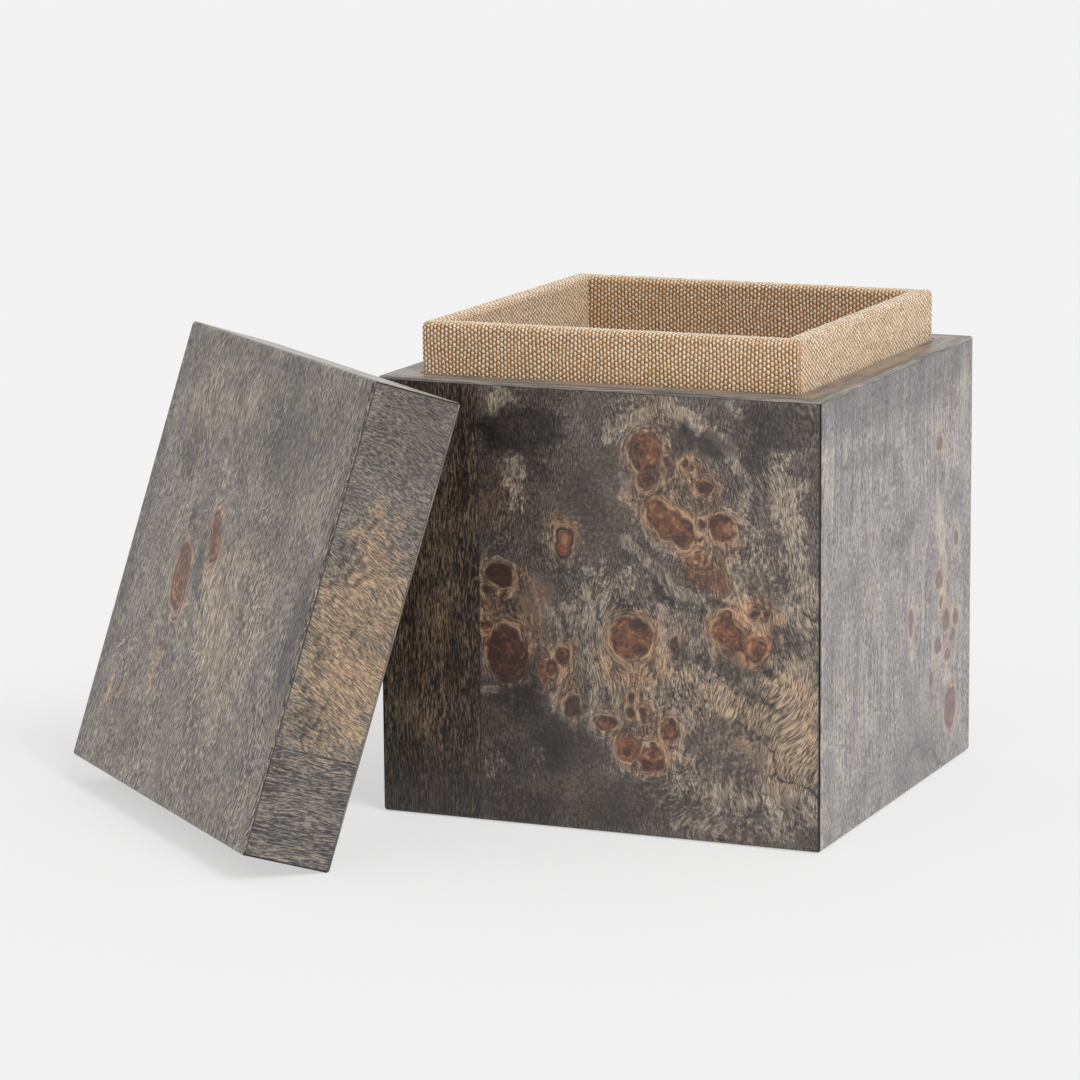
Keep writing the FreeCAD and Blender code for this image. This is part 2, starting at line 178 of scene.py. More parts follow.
def burlFields(x, y, figure):
    seed = figure["seed"]
    wander, wanderSize = figure["wander"]
    broadX, broadY = (softNoise(x, y, waver["broadMm"], seed + k) for k in (1, 2))
    fineX, fineY = (softNoise(x, y, waver["fineMm"], seed + k) for k in (3, 4))
    eyePlace, tornPlace, tidePlace = ((x + broad * broadX + fine * fineX, y + broad * broadY + fine * fineY)
                                      for broad, fine in (waver[kind] for kind in ("eye", "patch", "tide")))

    across = x + wander * softNoise(x, y * 0.55, wanderSize, seed + 5)  # the same all along one fibre
    along = y + 0.5 * wander * softNoise(x, y, wanderSize, seed + 6)
    for middleX, middleY, reach, slope in figure.get("leans", []):
        away = ((x - middleX) ** 2 + (y - middleY) ** 2) / reach ** 2
        across = across - slope * (y - middleY) * np.exp(-away)
    curled = np.zeros_like(x)
    for middleX, middleY, width, height, size, amount in figure.get("curls", []):
        curl = np.exp(-(((x - middleX) / width) ** 2 + ((y - middleY) / height) ** 2))
        across = across + amount * curl * softNoise(x, y, size, seed + 7)
        curled = np.maximum(curled, softStep(curl, 0.2, 0.7))

    outline = np.full_like(x, outlineReachMm)
    rim, red, dark, rings, halo, tissue = (np.zeros_like(x) for k in range(6))
    for *oval, rimHere, redHere, darkHere, ringsHere in figure.get("eyes", []):
        reach = ovalReach(*eyePlace, oval)
        size = math.sqrt(oval[2] * oval[3])
        away = (reach - 1) * size
        nearer = away < outline
        outline = np.where(nearer, away, outline)
        for field, value in ((rim, rimHere), (red, redHere), (dark, darkHere), (rings, ringsHere)):
            field[nearer] = value
        outside = np.maximum(reach - 1, 0) * size
        stain = roundEyes["haloShare"] * redHere
        halo = np.maximum(halo, stain * np.exp(-(outside / roundEyes["haloMm"]) ** 2))
        pale = roundEyes["tissueShare"] + roundEyes["tissuePerRim"] * abs(rimHere)
        tissue = np.maximum(tissue, pale * np.exp(-(outside / roundEyes["tissueMm"]) ** 2))
        pushed = (x - oval[0]) / np.maximum(ovalReach(x, y, oval), 0.9) ** 2
        across = across - roundEyes["partShare"] * pushed * np.exp(-reach / roundEyes["partReach"])
    rings = np.where(outline > 1, curled, rings)  # outside the eyes the same field says where the fibres curl
    for *oval, amount in figure.get("cores", []):
        dark = np.maximum(dark, amount * softStep(ovalReach(*eyePlace, oval), 1.25, 0.6))
    for *oval, amount in figure.get("glows", []):
        halo = np.maximum(halo, amount * softStep(ovalReach(*tornPlace, oval), 1.3, 0.3))

    patches = {}
    for kind in ("cream", "smooth", "shade", "warm"):
        patches[kind] = np.zeros_like(x)
        for *oval, amount in figure.get(kind, []):
            place = eyePlace if oval[2] * oval[3] < smallPatch else tornPlace
            there = softStep(ovalReach(*place, oval), 1.25, 0.6)
            patches[kind] += amount * there * (1 - 0.6 * np.abs(patches[kind]))
    for width, amount, line in figure.get("ribbons", []):
        away = lineReach(*eyePlace, line)[0]
        nearer = away + 0.8 < outline  # the fibres run along a ribbon as they run round an eye
        outline = np.where(nearer, away + 0.8, outline)
        rim[nearer] = 0
        patches["cream"] = np.maximum(patches["cream"], amount * softStep(away, 1.5 * width, 0.4 * width))
    cream = np.maximum(patches["cream"], tissue)
    tide, smoke = np.full_like(x, outlineReachMm), np.zeros_like(x)
    for amount, line in figure.get("tides", []):
        away, side = lineReach(*tidePlace, line)
        tide = np.minimum(tide, away + 0.5 * (1 - amount))  # a weak line is a thin one
        smoke = np.maximum(smoke, np.where(side > 0, amount * np.exp(-away / 2.2), 0))
    return {
        "flow": (across, along, patches["warm"]),
        "eye": (outline, rim, red),
        "heart": (dark, rings, halo),
        "patch": (cream, patches["smooth"], patches["shade"]),
        "tide": (tide, smoke),
    }


def scatterFigure(seed, width, height, clusters):  # a like figure for the sides that turn away
    draw = random.Random(seed)
    kinds = ("eyes", "cores", "glows", "ribbons", "cream", "smooth", "shade", "leans", "tides")
    figure = {kind: [] for kind in kinds} | {"seed": seed, "wander": (1.0, 13)}
    for k in range(clusters):
        middleX, middleY = draw.uniform(-0.38, 0.38) * width, draw.uniform(0.12, 0.88) * height
        reach = draw.uniform(0.05, 0.09) * height
        spots = []
        for n in range(draw.randint(4, 8)):
            x, y = draw.gauss(middleX, reach * 1.1), draw.gauss(middleY, reach * 1.4)
            size = draw.choice((0.9, 1.1, 1.4, 2.0, 3.2, 4.2)) * min(1, height / 60)
            shape = (x, y, size * draw.uniform(0.8, 1), size * draw.uniform(1, 1.3), draw.uniform(-25, 25))
            looks = (draw.uniform(0.4, 1.0), draw.uniform(0.5, 0.9), draw.uniform(0.0, 0.4), 0.2)
            figure["eyes"].append(shape + looks)
            core = (x + 0.2 * size, y - 0.2 * size, size * 0.4, size * 0.35, 0, draw.uniform(0.4, 0.9))
            figure["cores"].append(core)
            spots.append((x - 1.2 * size, y))
        spots.sort(key=lambda spot: spot[1])
        for amount, line in ((0.9, spots[:3]), (0.8, spots[-3:])):
            figure["ribbons"].append((draw.uniform(0.6, 1.3), amount, line))
        figure["glows"].append((middleX, middleY + reach, reach, reach * 1.4, 0, 0.6))
        for kind, amount in (("cream", 0.8), ("cream", 0.6), ("smooth", 0.9)):
            x, y = draw.gauss(middleX, reach * 3), draw.gauss(middleY, reach * 3)
            figure[kind].append((x, y, reach * 1.6, reach * 2.4, draw.uniform(-30, 30), amount))
        figure["leans"].append((middleX, middleY, reach * 3, draw.uniform(-0.2, 0.2)))
    for n in range(clusters):
        x, y = draw.uniform(-0.4, 0.4) * width, draw.uniform(0.1, 0.9) * height
        figure["shade"].append((x, y, 0.14 * width, 0.1 * height, draw.uniform(-40, 40), 0.5))
        line = [(x, y)]
        for step in range(5):
            line.append((line[-1][0] + draw.uniform(2, 5), line[-1][1] + draw.uniform(-4, 4)))
        figure["tides"].append((0.7, line))
    return figure


frontFigure = {  # places are millimetres right of the middle and up from the floor
    "seed": 11, "wander": (0.8, 12),
    "eyes": [  # x, y, across, along, lean in degrees, outline, redness, darkness, rings
        (12.3, 90.4, 4, 4.5, 10, 0.8, 0.7, 0.2, 0.2), (12.7, 83.6, 2.5, 2.1, 0, 0.4, 0.5, 0.35, 0.1),
        (15.4, 76.3, 3.2, 3.5, 20, 0.9, 0.9, 0.25, 0.1), (18.3, 73.6, 3.3, 3.8, 20, 0.5, 0.9, 0.25, 0.1),
        (21.5, 71.8, 2.7, 3.5, 15, 0.8, 0.85, 0.35, 0.1), (26.1, 74.1, 1.3, 0.9, 10, 0.9, 0.5, 0.7, 0),
        (31.2, 74, 3.3, 2.9, 0, 0.9, 0.8, 0.1, 0), (25.6, 71.3, 1, 0.9, 0, 0.7, 0.5, 0.6, 0),
        (27, 83.2, 2, 1.6, 10, 0.1, 0.7, 0.7, 0), (18.2, 88.5, 0.9, 1.3, 0, 0.3, 0.5, 0.75, 0),
        (22.2, 88.3, 0.9, 1.4, 0, 0.7, 0.7, 0.65, 0), (23.9, 86.9, 0.7, 0.9, 0, 0.3, 0.5, 0.75, 0),
        (26.1, 66.3, 0.9, 1.1, 0, 0.9, 0.3, 0, 0), (32.1, 53.8, 1.9, 1.5, 0, 0.6, 0.6, 0.5, 0),
        (38.9, 55, 1.3, 1.1, 0, 0.3, 0.6, 0.9, 0), (42.1, 54.3, 0.8, 1.1, 0, 0.3, 0.6, 0.85, 0),
        (32.6, 49.8, 4, 3.2, -30, 0.4, 0.95, 0.25, 0.5), (34.8, 46.8, 2.2, 1.8, -20, 0.2, 0.95, 0.35, 0.6),
        (39.3, 46.3, 2.9, 2.9, 0, 0.15, 1, 0.15, 0), (8.9, 46.6, 5.3, 4.9, 15, 0.7, 0.8, 0.2, 0.2),
        (19.8, 45.4, 0.9, 2.5, 5, 0.3, 0.5, 0.7, 0), (8.8, 32.6, 0.9, 1, 0, 0.2, 0.5, 0.7, 0),
        (8.4, 29, 1.2, 1.5, 0, 0.5, 0.5, 0.8, 0), (11.9, 29.4, 1.2, 1.3, 0, 0.5, 0.5, 0.8, 0),
        (18.1, 25.6, 2, 3.1, 5, 0.6, 0.7, 0.5, 0.3), (7.8, 20, 2.9, 2.8, 0, 0.9, 0.7, -0.55, 0.2),
        (13.8, 18.8, 3.1, 3.3, 10, 0.95, 0.6, -0.65, 0), (2.6, 26.4, 3, 2.2, 0, 0.5, 0.5, 0.3, 0.2),
        (-7.9, 67.7, 2.3, 2.9, 0, -1, 0.5, -0.1, 0), (-24.3, 59.1, 3.7, 2.7, -12, 0.4, 0.6, 1.15, 0.2),
        (-27.6, 55.2, 1.5, 0.9, -15, 0.4, 0.5, 0.9, 0), (-22.6, 40.4, 5.3, 6.6, 5, 0.3, 0.7, 0.8, 0.5),
        (-8.2, 41.3, 1.5, 2.6, -12, 0.5, 0.8, 0.5, 0.1), (-10.8, 38.3, 1.7, 2.2, -10, 0.5, 0.6, 0.6, 0),
        (-13.4, 37.3, 0.8, 1.9, 0, 0.1, 1, -0.1, 0), (-6.1, 29.4, 1.8, 2.7, 8, 0.5, 0.5, 0.7, 0),
        (-28.2, 47.5, 1.6, 1.2, -30, 0.8, 0.5, 0.2, 0),
    ],
    "cores": [  # darker hearts inside the eyes: x, y, across, along, lean, amount
        (11.4, 91, 2, 2.4, 0, 0.6), (10.5, 87.2, 1.2, 0.9, 0, 0.55), (14.2, 87, 0.9, 0.9, 0, 0.6),
        (15.1, 76.3, 1.1, 1.5, 10, 0.45), (17.1, 72.6, 1.3, 1, 0, 0.75), (21.4, 70.6, 1.7, 1.2, 0, 0.8),
        (23.3, 73, 1, 0.9, 0, 0.5), (29.3, 74.3, 1.2, 0.9, 0, 0.85), (31.7, 75.6, 1.3, 0.9, 0, 0.85),
        (32.4, 72.4, 1.4, 0.9, 0, 0.9), (10.3, 49.8, 2.6, 1.5, 0, 0.85), (6, 45.8, 1.3, 1.6, 0, 0.55),
        (11.2, 43.9, 2, 1.2, 0, 0.6), (39.8, 46.1, 1.2, 1.6, 0, 0.5), (12.9, 83.7, 1.1, 1, 0, 0.7),
        (8.1, 19.8, 1.1, 1.3, 0, 1), (12.3, 17.3, 1.3, 1.3, 0, 0.9), (15.4, 18, 1, 1, 0, 0.85),
        (13.5, 19.9, 0.8, 0.9, 0, 0.8), (14.2, 21.5, 0.8, 0.8, 0, 0.6), (17.8, 24.4, 1.2, 1, 0, 0.6),
        (4.6, 27.4, 1.2, 1.5, 0, 0.8), (2, 25, 2, 0.7, 0, 0.5),
    ],
    "glows": [  # red-brown clouds with no outline, given as the cores are
        (26, 63.6, 5.6, 5, 0, 0.95), (29.8, 62, 2.6, 2.6, 0, 1), (-7.9, 72.5, 1.6, 2.6, 0, 0.7),
        (39.5, 57.8, 3.2, 2.6, 0, 0.5), (28.6, 80.5, 3, 3, 0, 0.5), (36.4, 47.5, 2.6, 3, 0, 0.9),
        (9, 37.8, 5, 2.6, 0, 0.45), (-26.5, 50, 2.6, 4, 0, 0.6), (12.5, 95.5, 2.4, 2.2, 10, 0.7),
        (44.5, 53, 2.6, 2.6, 0, 0.4), (-16, 52, 4, 8, 0, 0.35), (12.8, 25, 4, 3, 0, 0.3),
    ],
    "ribbons": [  # pale tissue that flows between the eyes: half width, amount, points
        (1.7, 1, [(3, 93), (5.5, 96.5), (10, 98.5), (15, 100.5), (18, 102.5)]),
        (1.7, 1.15, [(17, 101.5), (22, 99.5), (26, 97), (30, 94.5), (33.5, 91.5), (35.8, 87.5)]),
        (1.1, 0.7, [(32.5, 103), (35.5, 100), (38.5, 96.5)]),
        (1.2, 0.75, [(6, 84.5), (8, 80.5), (10.2, 76.5)]),
        (0.7, 1, [(16.5, 88.5), (16.9, 84), (14.2, 80.6), (16, 79.4), (20.2, 77.5), (24.3, 74),
            (25.3, 72.2), (28, 71.2), (31, 70), (33.8, 70.6)]),
        (0.6, 0.9, [(24.5, 74.2), (28.5, 76.2), (32.3, 77.3), (34.6, 75), (34.5, 71.5)]),
        (0.8, 0.8, [(11, 73.5), (13.2, 70.5), (16, 68.8), (20, 67.2), (24, 68.6)]),
        (1.4, 1.05, [(7.5, 69.5), (11.5, 66.5), (15, 62.8), (18.5, 60), (22.5, 57.6), (27, 56.6)]),
        (1.6, 0.6, [(36.5, 83), (36, 77), (35.8, 71)]),
        (1.3, 0.8, [(33.5, 66), (35.2, 62), (34.6, 58.5), (32, 56.2)]),
        (0.8, 0.9, [(28.6, 56), (28, 51), (29.2, 46.5), (29.6, 43)]),
        (0.9, 1, [(35.6, 44.6), (36.4, 40), (38.6, 35.6)]),
        (1.6, 1.1, [(36.6, 57.5), (36.8, 53), (40, 51), (43.8, 51.4), (45.6, 54.6)]),
        (1.5, 1, [(47.5, 57), (51, 52), (51.8, 46), (49.5, 41)]),
        (1, 0.9, [(-12.5, 53), (-9.8, 49), (-9, 45)]),
        (1.5, 1.15, [(-6.5, 53), (-5.8, 47), (-2.8, 42), (-0.4, 38), (0.6, 33.5), (-0.6, 29.5)]),
        (1.3, 1.15, [(-2.5, 57), (-1.4, 51), (1.2, 45.5), (2.2, 41), (3.8, 35.5), (5, 31)]),
        (1.1, 1.1, [(2, 54), (2.6, 48), (3.8, 42.6), (7, 39.8), (11.5, 39.4)]),
        (1.2, 1.1, [(16, 54), (17.2, 47), (16.4, 41.5), (17.5, 37)]),
        (1.2, 1.05, [(20.5, 53), (22.2, 48), (21.4, 43.5)]),
        (0.7, 0.9, [(-12.8, 32.8), (-9.8, 35.2), (-7, 38)]),
        (0.8, 0.8, [(-10.8, 32), (-9.6, 27.5), (-6, 25.4), (-2.6, 27.5), (-0.8, 31)]),
        (0.7, 0.8, [(-2.2, 24), (-1, 27.6), (1.2, 30.2)]), (0.7, 1, [(3.8, 22.5), (4.6, 18), (8, 16)]),
        (0.8, 1.1, [(10.6, 14.8), (14.8, 14.6), (17.2, 17.2), (17.4, 20.5)]),
        (0.8, 0.8, [(21, 28), (21.8, 23), (20.2, 18)]),
        (0.6, 0.9, [(-25, 64), (-20.3, 61.5), (-19.8, 57), (-23, 53.5)]),
        (0.8, 0.7, [(-28.8, 31.5), (-23, 31.8), (-17, 35)]), (0.7, 0.8, [(5.6, 34.5), (5, 28), (6, 24)]),
        (0.7, 0.8, [(10.2, 33.5), (10.1, 28.5), (11.5, 24.5)]),
        (1, 0.8, [(42, 14), (46, 13), (50, 10.2), (53, 7)]),
    ],
    "cream": [  # patches that took less dye, given as the cores are
        (-24.8, 101, 3.4, 3.6, 0, 0.7), (16.5, 102.5, 4.5, 2.4, 0, 0.6), (-20, 81.5, 2.8, 7, 3, 0.55),
        (46.5, 81, 4.4, 11, 10, 0.85), (50.5, 63, 3.8, 11, 10, 0.95), (4, 59, 8, 5, 0, 0.38),
        (-3, 46, 4, 9, 12, 0.35), (10, 35.5, 6, 3.4, 0, 0.75), (23.5, 36.5, 6.8, 3.8, 0, 0.85),
        (33, 33.4, 6, 3.6, -25, 1), (41.5, 30, 5.2, 3.4, -20, 1), (48, 37.5, 6.4, 7, -10, 0.9),
        (49.8, 23.5, 5, 8, -8, 1.2), (21.5, 49.5, 3.6, 6, 10, 0.8), (28.8, 12, 0.9, 1.9, -20, 0.9),
        (32.4, 12.6, 1, 2.2, -15, 0.9), (36.6, 11.2, 1.2, 2, -10, 0.9), (26, 14, 1, 1.2, 0, 0.7),
        (40.4, 13, 1.1, 1.6, 0, 0.7), (22.5, 4.8, 5, 0.8, 18, 0.9), (27.5, 3.4, 3.5, 0.7, 22, 0.7),
        (-14.5, 17, 1.6, 2.4, 20, 0.7), (-27, 14, 3, 5, 0, 0.35), (-20, 6, 8, 4, 0, 0.1),
        (38, 86, 3, 7, 15, 0.3), (-17, 54, 3.6, 8, 0, 0.25), (40, 68, 4, 6, 0, 0.3),
        (33, 28, 26, 32, 0, 0.42), (53, 46, 2.2, 14, 0, 0.5), (7, 47, 24, 14, 0, 0.22),
        (42, 65, 9, 8, 0, 0.3), (14, 99, 12, 5, 0, 0.3), (47, 25, 9, 19, -5, 0.8),
    ],
    "smooth": [  # quiet wood
        (25.5, 93.6, 7.8, 3.2, -12, 1), (34, 41, 5.4, 3.2, -38, 1), (32, 22.5, 10.5, 7.5, 0, 1),
        (-8, 20.5, 8.5, 7.5, 0, 0.9), (-18.5, 28.5, 8, 5, 0, 0.8), (5, 9, 18, 5, 0, 0.75),
        (-1, 78, 8, 15, -20, 0.8), (-14, 55, 4.8, 5.6, 0, 0.9), (-20.4, 86.6, 3.2, 2.8, 0, 0.85),
        (40.5, 61.5, 5, 3, -20, 0.9), (36, 3.5, 18, 3, 0, 0.6), (6, 79, 3, 5, 0, 0.4),
    ],
    "shade": [  # where the dye pooled, or ran off where the amount is negative; the long low band at y 3.5 is painted shade, darker towards the floor
        # (-8, 3.5, 24, 4) is painted shade along the bottom, darker towards the floor
        (-19, 36, 9, 6, 0, 0.5), (-8, 3.5, 24, 4, 0, 0.5), (-20, 14, 14, 20, 0, 0.5),
        (-18, 93.2, 12, 5, 0, 0.7), (-26, 90, 4.6, 6, 0, 0.5), (-13.5, 84.5, 3, 4, 0, 0.45),
        (25.5, 94, 8.6, 2.8, -12, 0.55), (45.5, 98, 10, 6, 0, 0.55), (39.5, 91, 3.4, 7, 15, 0.4),
        (34, 41, 5, 3, -38, 0.45), (45.4, 48.6, 3.2, 2, 0, 0.6), (42.5, 40.9, 1.6, 1.5, 0, 0.9),
        (17.8, 57.2, 1.3, 3.6, 38, 0.75), (26.5, 63.6, 5, 4, 0, 0.5), (7, 55.6, 3.2, 1.4, 0, 0.4),
        (-9.2, 48, 1.9, 2.4, 0, 0.3), (-4.2, 45, 0.9, 5, 18, 0.6), (32, 22.5, 10, 7, 0, 0.1),
        (-20, 29.5, 8, 4, 0, 0.4), (-7, 20, 8, 7, 0, 0.4), (10, 9, 14, 4, 0, 0.35),
        (22.5, 97, 1.2, 1.8, 0, 0.7), (16, 62, 0.8, 4, 38, 0.6), (25, 43.2, 4.5, 1.4, -10, 0.6),
        (40.5, 35, 3.6, 1, -30, 0.6), (44, 32.6, 3, 0.9, -25, 0.6), (30, 56.6, 3.4, 0.9, -8, 0.6),
        (-23.6, 54, 1.2, 2.4, -20, 0.8), (-14, 54, 4.4, 6, 0, -0.42), (-20.4, 86.4, 2.8, 2.4, 0, -0.12),
        (24, 8, 2.6, 2.6, 0, 0.4), (38, 8, 3, 2.2, 0, 0.45), (11.8, 34, 0.5, 3, 0, 0.5),
        (1, 33, 0.6, 3, 0, 0.5),
    ],
    "warm": [  # where the wood stayed brown
        (-26, 77, 5, 10, 0, 0.9), (18, 82, 12, 12, 0, 0.8), (28, 66, 8, 9, 0, 0.9), (37, 50, 10, 9, 0, 1),
        (9.5, 42, 10, 12, 0, 0.9), (12, 22, 9, 9, 0, 0.9), (-22, 49, 9, 14, 0, 1), (-8, 69, 4, 8, 0, 0.9),
        (-9, 38, 6, 8, 0, 0.8), (46, 28, 12, 16, 0, 0.7), (-12, 6, 16, 6, 0, 0.7),
        (30, 34, 12, 5, -20, 0.6), (15, 98.5, 7, 5, 0, 0.6),
    ],
    "leans": [  # where the fibres lean: x, y, reach, slope
        (44, 80, 15, -0.3), (47, 27, 25, 0.42), (17, 58, 8, -0.6), (0, 42, 9, -0.3), (24, 6, 7, 1.6),
    ],
    "curls": [  # where they ripple: x, y, width, height, ripple, amount
        (32, 12, 9, 4, 2.4, 0.36), (45, 11, 8, 4, 2.6, 0.42),
    ],
    "tides": [  # ragged edges of the dye: amount, points
        (1, [(37, 29), (37.8, 26), (41, 26.4), (43, 22.6), (43.8, 18.6), (43.6, 16.8), (46.4, 16.4),
            (50, 16.2), (52.4, 14.8), (54.8, 12)]),
        (0.4, [(-29.5, 79.5), (-25.3, 80.5), (-24.6, 86), (-22, 89.4), (-18.4, 88.6), (-16.6, 83),
            (-15, 80.2), (-11, 79.4), (-8, 77.6), (-4.5, 79), (-1, 84), (2.5, 91)]),
        (0.7, [(40, 13.4), (43.4, 12.6), (45, 10.2), (48, 8.6), (49, 5.6)]),
        (0.5, [(13, 63.5), (15.6, 59), (18.6, 55.8), (20, 52)]),
        (0.3, [(-18.6, 51), (-18.8, 57), (-16.6, 60.4), (-13.2, 61), (-10.2, 58.6), (-9.4, 53)]),
        (0.5, [(40.6, 42.6), (44.4, 42), (43.4, 39.6)]), (0.4, [(16, 15.6), (21, 16.4), (27, 15.4)]),
    ],
}

rightFigure = {  # millimetres back from the middle of the side and up from the floor
    "seed": 31, "wander": (0.45, 16),
    "eyes": [
        (29.2, 81.7, 2.5, 2.4, 0, 0.5, 0.55, 0.35, 0), (42.7, 56.2, 1.9, 2, 0, 0.8, 0.2, 0.3, 0),
        (30, 47.7, 2.7, 2.4, 0, 0.4, 0.7, 0.3, 0), (9, 41.2, 1.8, 3.8, 0, 0.3, 0.5, 0.3, 0),
        (35.3, 36.8, 2.6, 2.8, 0, 0.7, 0.5, 0.4, 0), (42.7, 36.2, 2.4, 2.4, 0, 0.8, 0.3, 0.2, 0),
        (29.2, 31.6, 2.5, 2.3, 0, 0.8, 0.4, 0.5, 0), (36.7, 27.7, 2.2, 1.6, 0, 0.8, 0.4, 0.4, 0),
        (40.3, 32.4, 1.7, 1.5, 0, 0.8, 0.4, 0.4, 0), (38.9, 14.2, 4.4, 5.4, 0, 0.8, 0.8, 0.4, 0.3),
        (31.5, 42, 1.5, 1.5, 0, 0.7, 0.5, 0.3, 0), (24, 24.5, 1.6, 2.2, 0, 0.6, 0.3, 0.3, 0),
    ],
    "cores": [
        (29.2, 81.7, 1.2, 1.4, 0, 0.5), (38.9, 13.6, 2.4, 3.4, 0, 0.6), (29.2, 31.6, 1.2, 1.2, 0, 0.6),
    ],
    "glows": [(38.7, 9.5, 2, 3, 0, 0.5), (30, 51, 2, 2.4, 0, 0.4)],
    "ribbons": [
        (0.9, 1, [(10.9, 64.9), (7.8, 51.5), (6.1, 44.8), (8.3, 31.9)]),
        (1.6, 0.9, [(28.6, 70), (29.5, 62), (32, 57), (34.8, 51)]),
        (1.1, 0.8, [(37, 58), (40, 52), (44.5, 57.5), (46, 50)]),
        (1.2, 0.8, [(33, 44), (36.5, 41), (38.8, 36), (38.5, 31), (36.5, 24.5)]),
        (1.2, 0.8, [(43.5, 45), (45.6, 38), (43.6, 31), (41, 25)]),
        (1.3, 1, [(33.6, 22), (42.5, 21), (44.6, 13), (41, 6.5), (36, 2.5)]),
        (1, 0.7, [(26.2, 38), (25.4, 31), (28, 26)]), (1, 0.7, [(26, 87), (27.4, 79), (28.4, 71)]),
        (1, 0.8, [(46, 100), (48, 92), (46, 84)]), (0.9, 0.6, [(20, 60), (17, 50), (18, 40)]),
    ],
    "cream": [
        # the pale band at -55, along the corner with the front, is a painted highlight on the arris
        (31, 60, 2.8, 8.5, 12, 0.95), (29, 74, 1.5, 6, 0, 0.6), (-55, 52, 1.2, 90, 0, 1.2),
        (42.5, 62, 3, 5, 0, 0.4), (33, 24, 5, 5, 0, 0.5), (-18, 58, 7, 20, 0, 0.3),
        (-36, 30, 8, 26, 0, 0.3), (47, 96, 4, 6, 0, 0.5), (8.6, 41, 0.5, 9, 0, 0.8),
    ],
    "smooth": [(14, 14, 14, 13, 0, 0.7), (42, 66, 4.5, 2.8, 0, 0.7), (18, 66, 9, 5, 0, 0.4)],
    "shade": [
        (0, 103, 70, 12, 0, 0.5), (0, 6, 50, 9, 0, 0.2), (31.8, 73.8, 2.4, 1.9, 0, 0.5),
        (3.4, 63.9, 9, 5, 0, 0.4), (-24, 86.5, 24, 2.6, -4, 0.4), (42, 66, 4.5, 2.8, 0, 0.3),
        (-40, 50, 8, 12, 0, 0.2),
    ],
    "warm": [(36, 92, 10, 9, 0, 0.3), (36, 40, 9, 12, 0, 0.3)],
    "leans": [(34, 30, 12, 0.15), (32, 62, 10, -0.2)],
    "tides": [(1, [(3.9, 3.9), (8.1, 9.2), (12.8, 10.5), (20.1, 6.5), (25, 6.6), (32.5, 0.5)])],
}

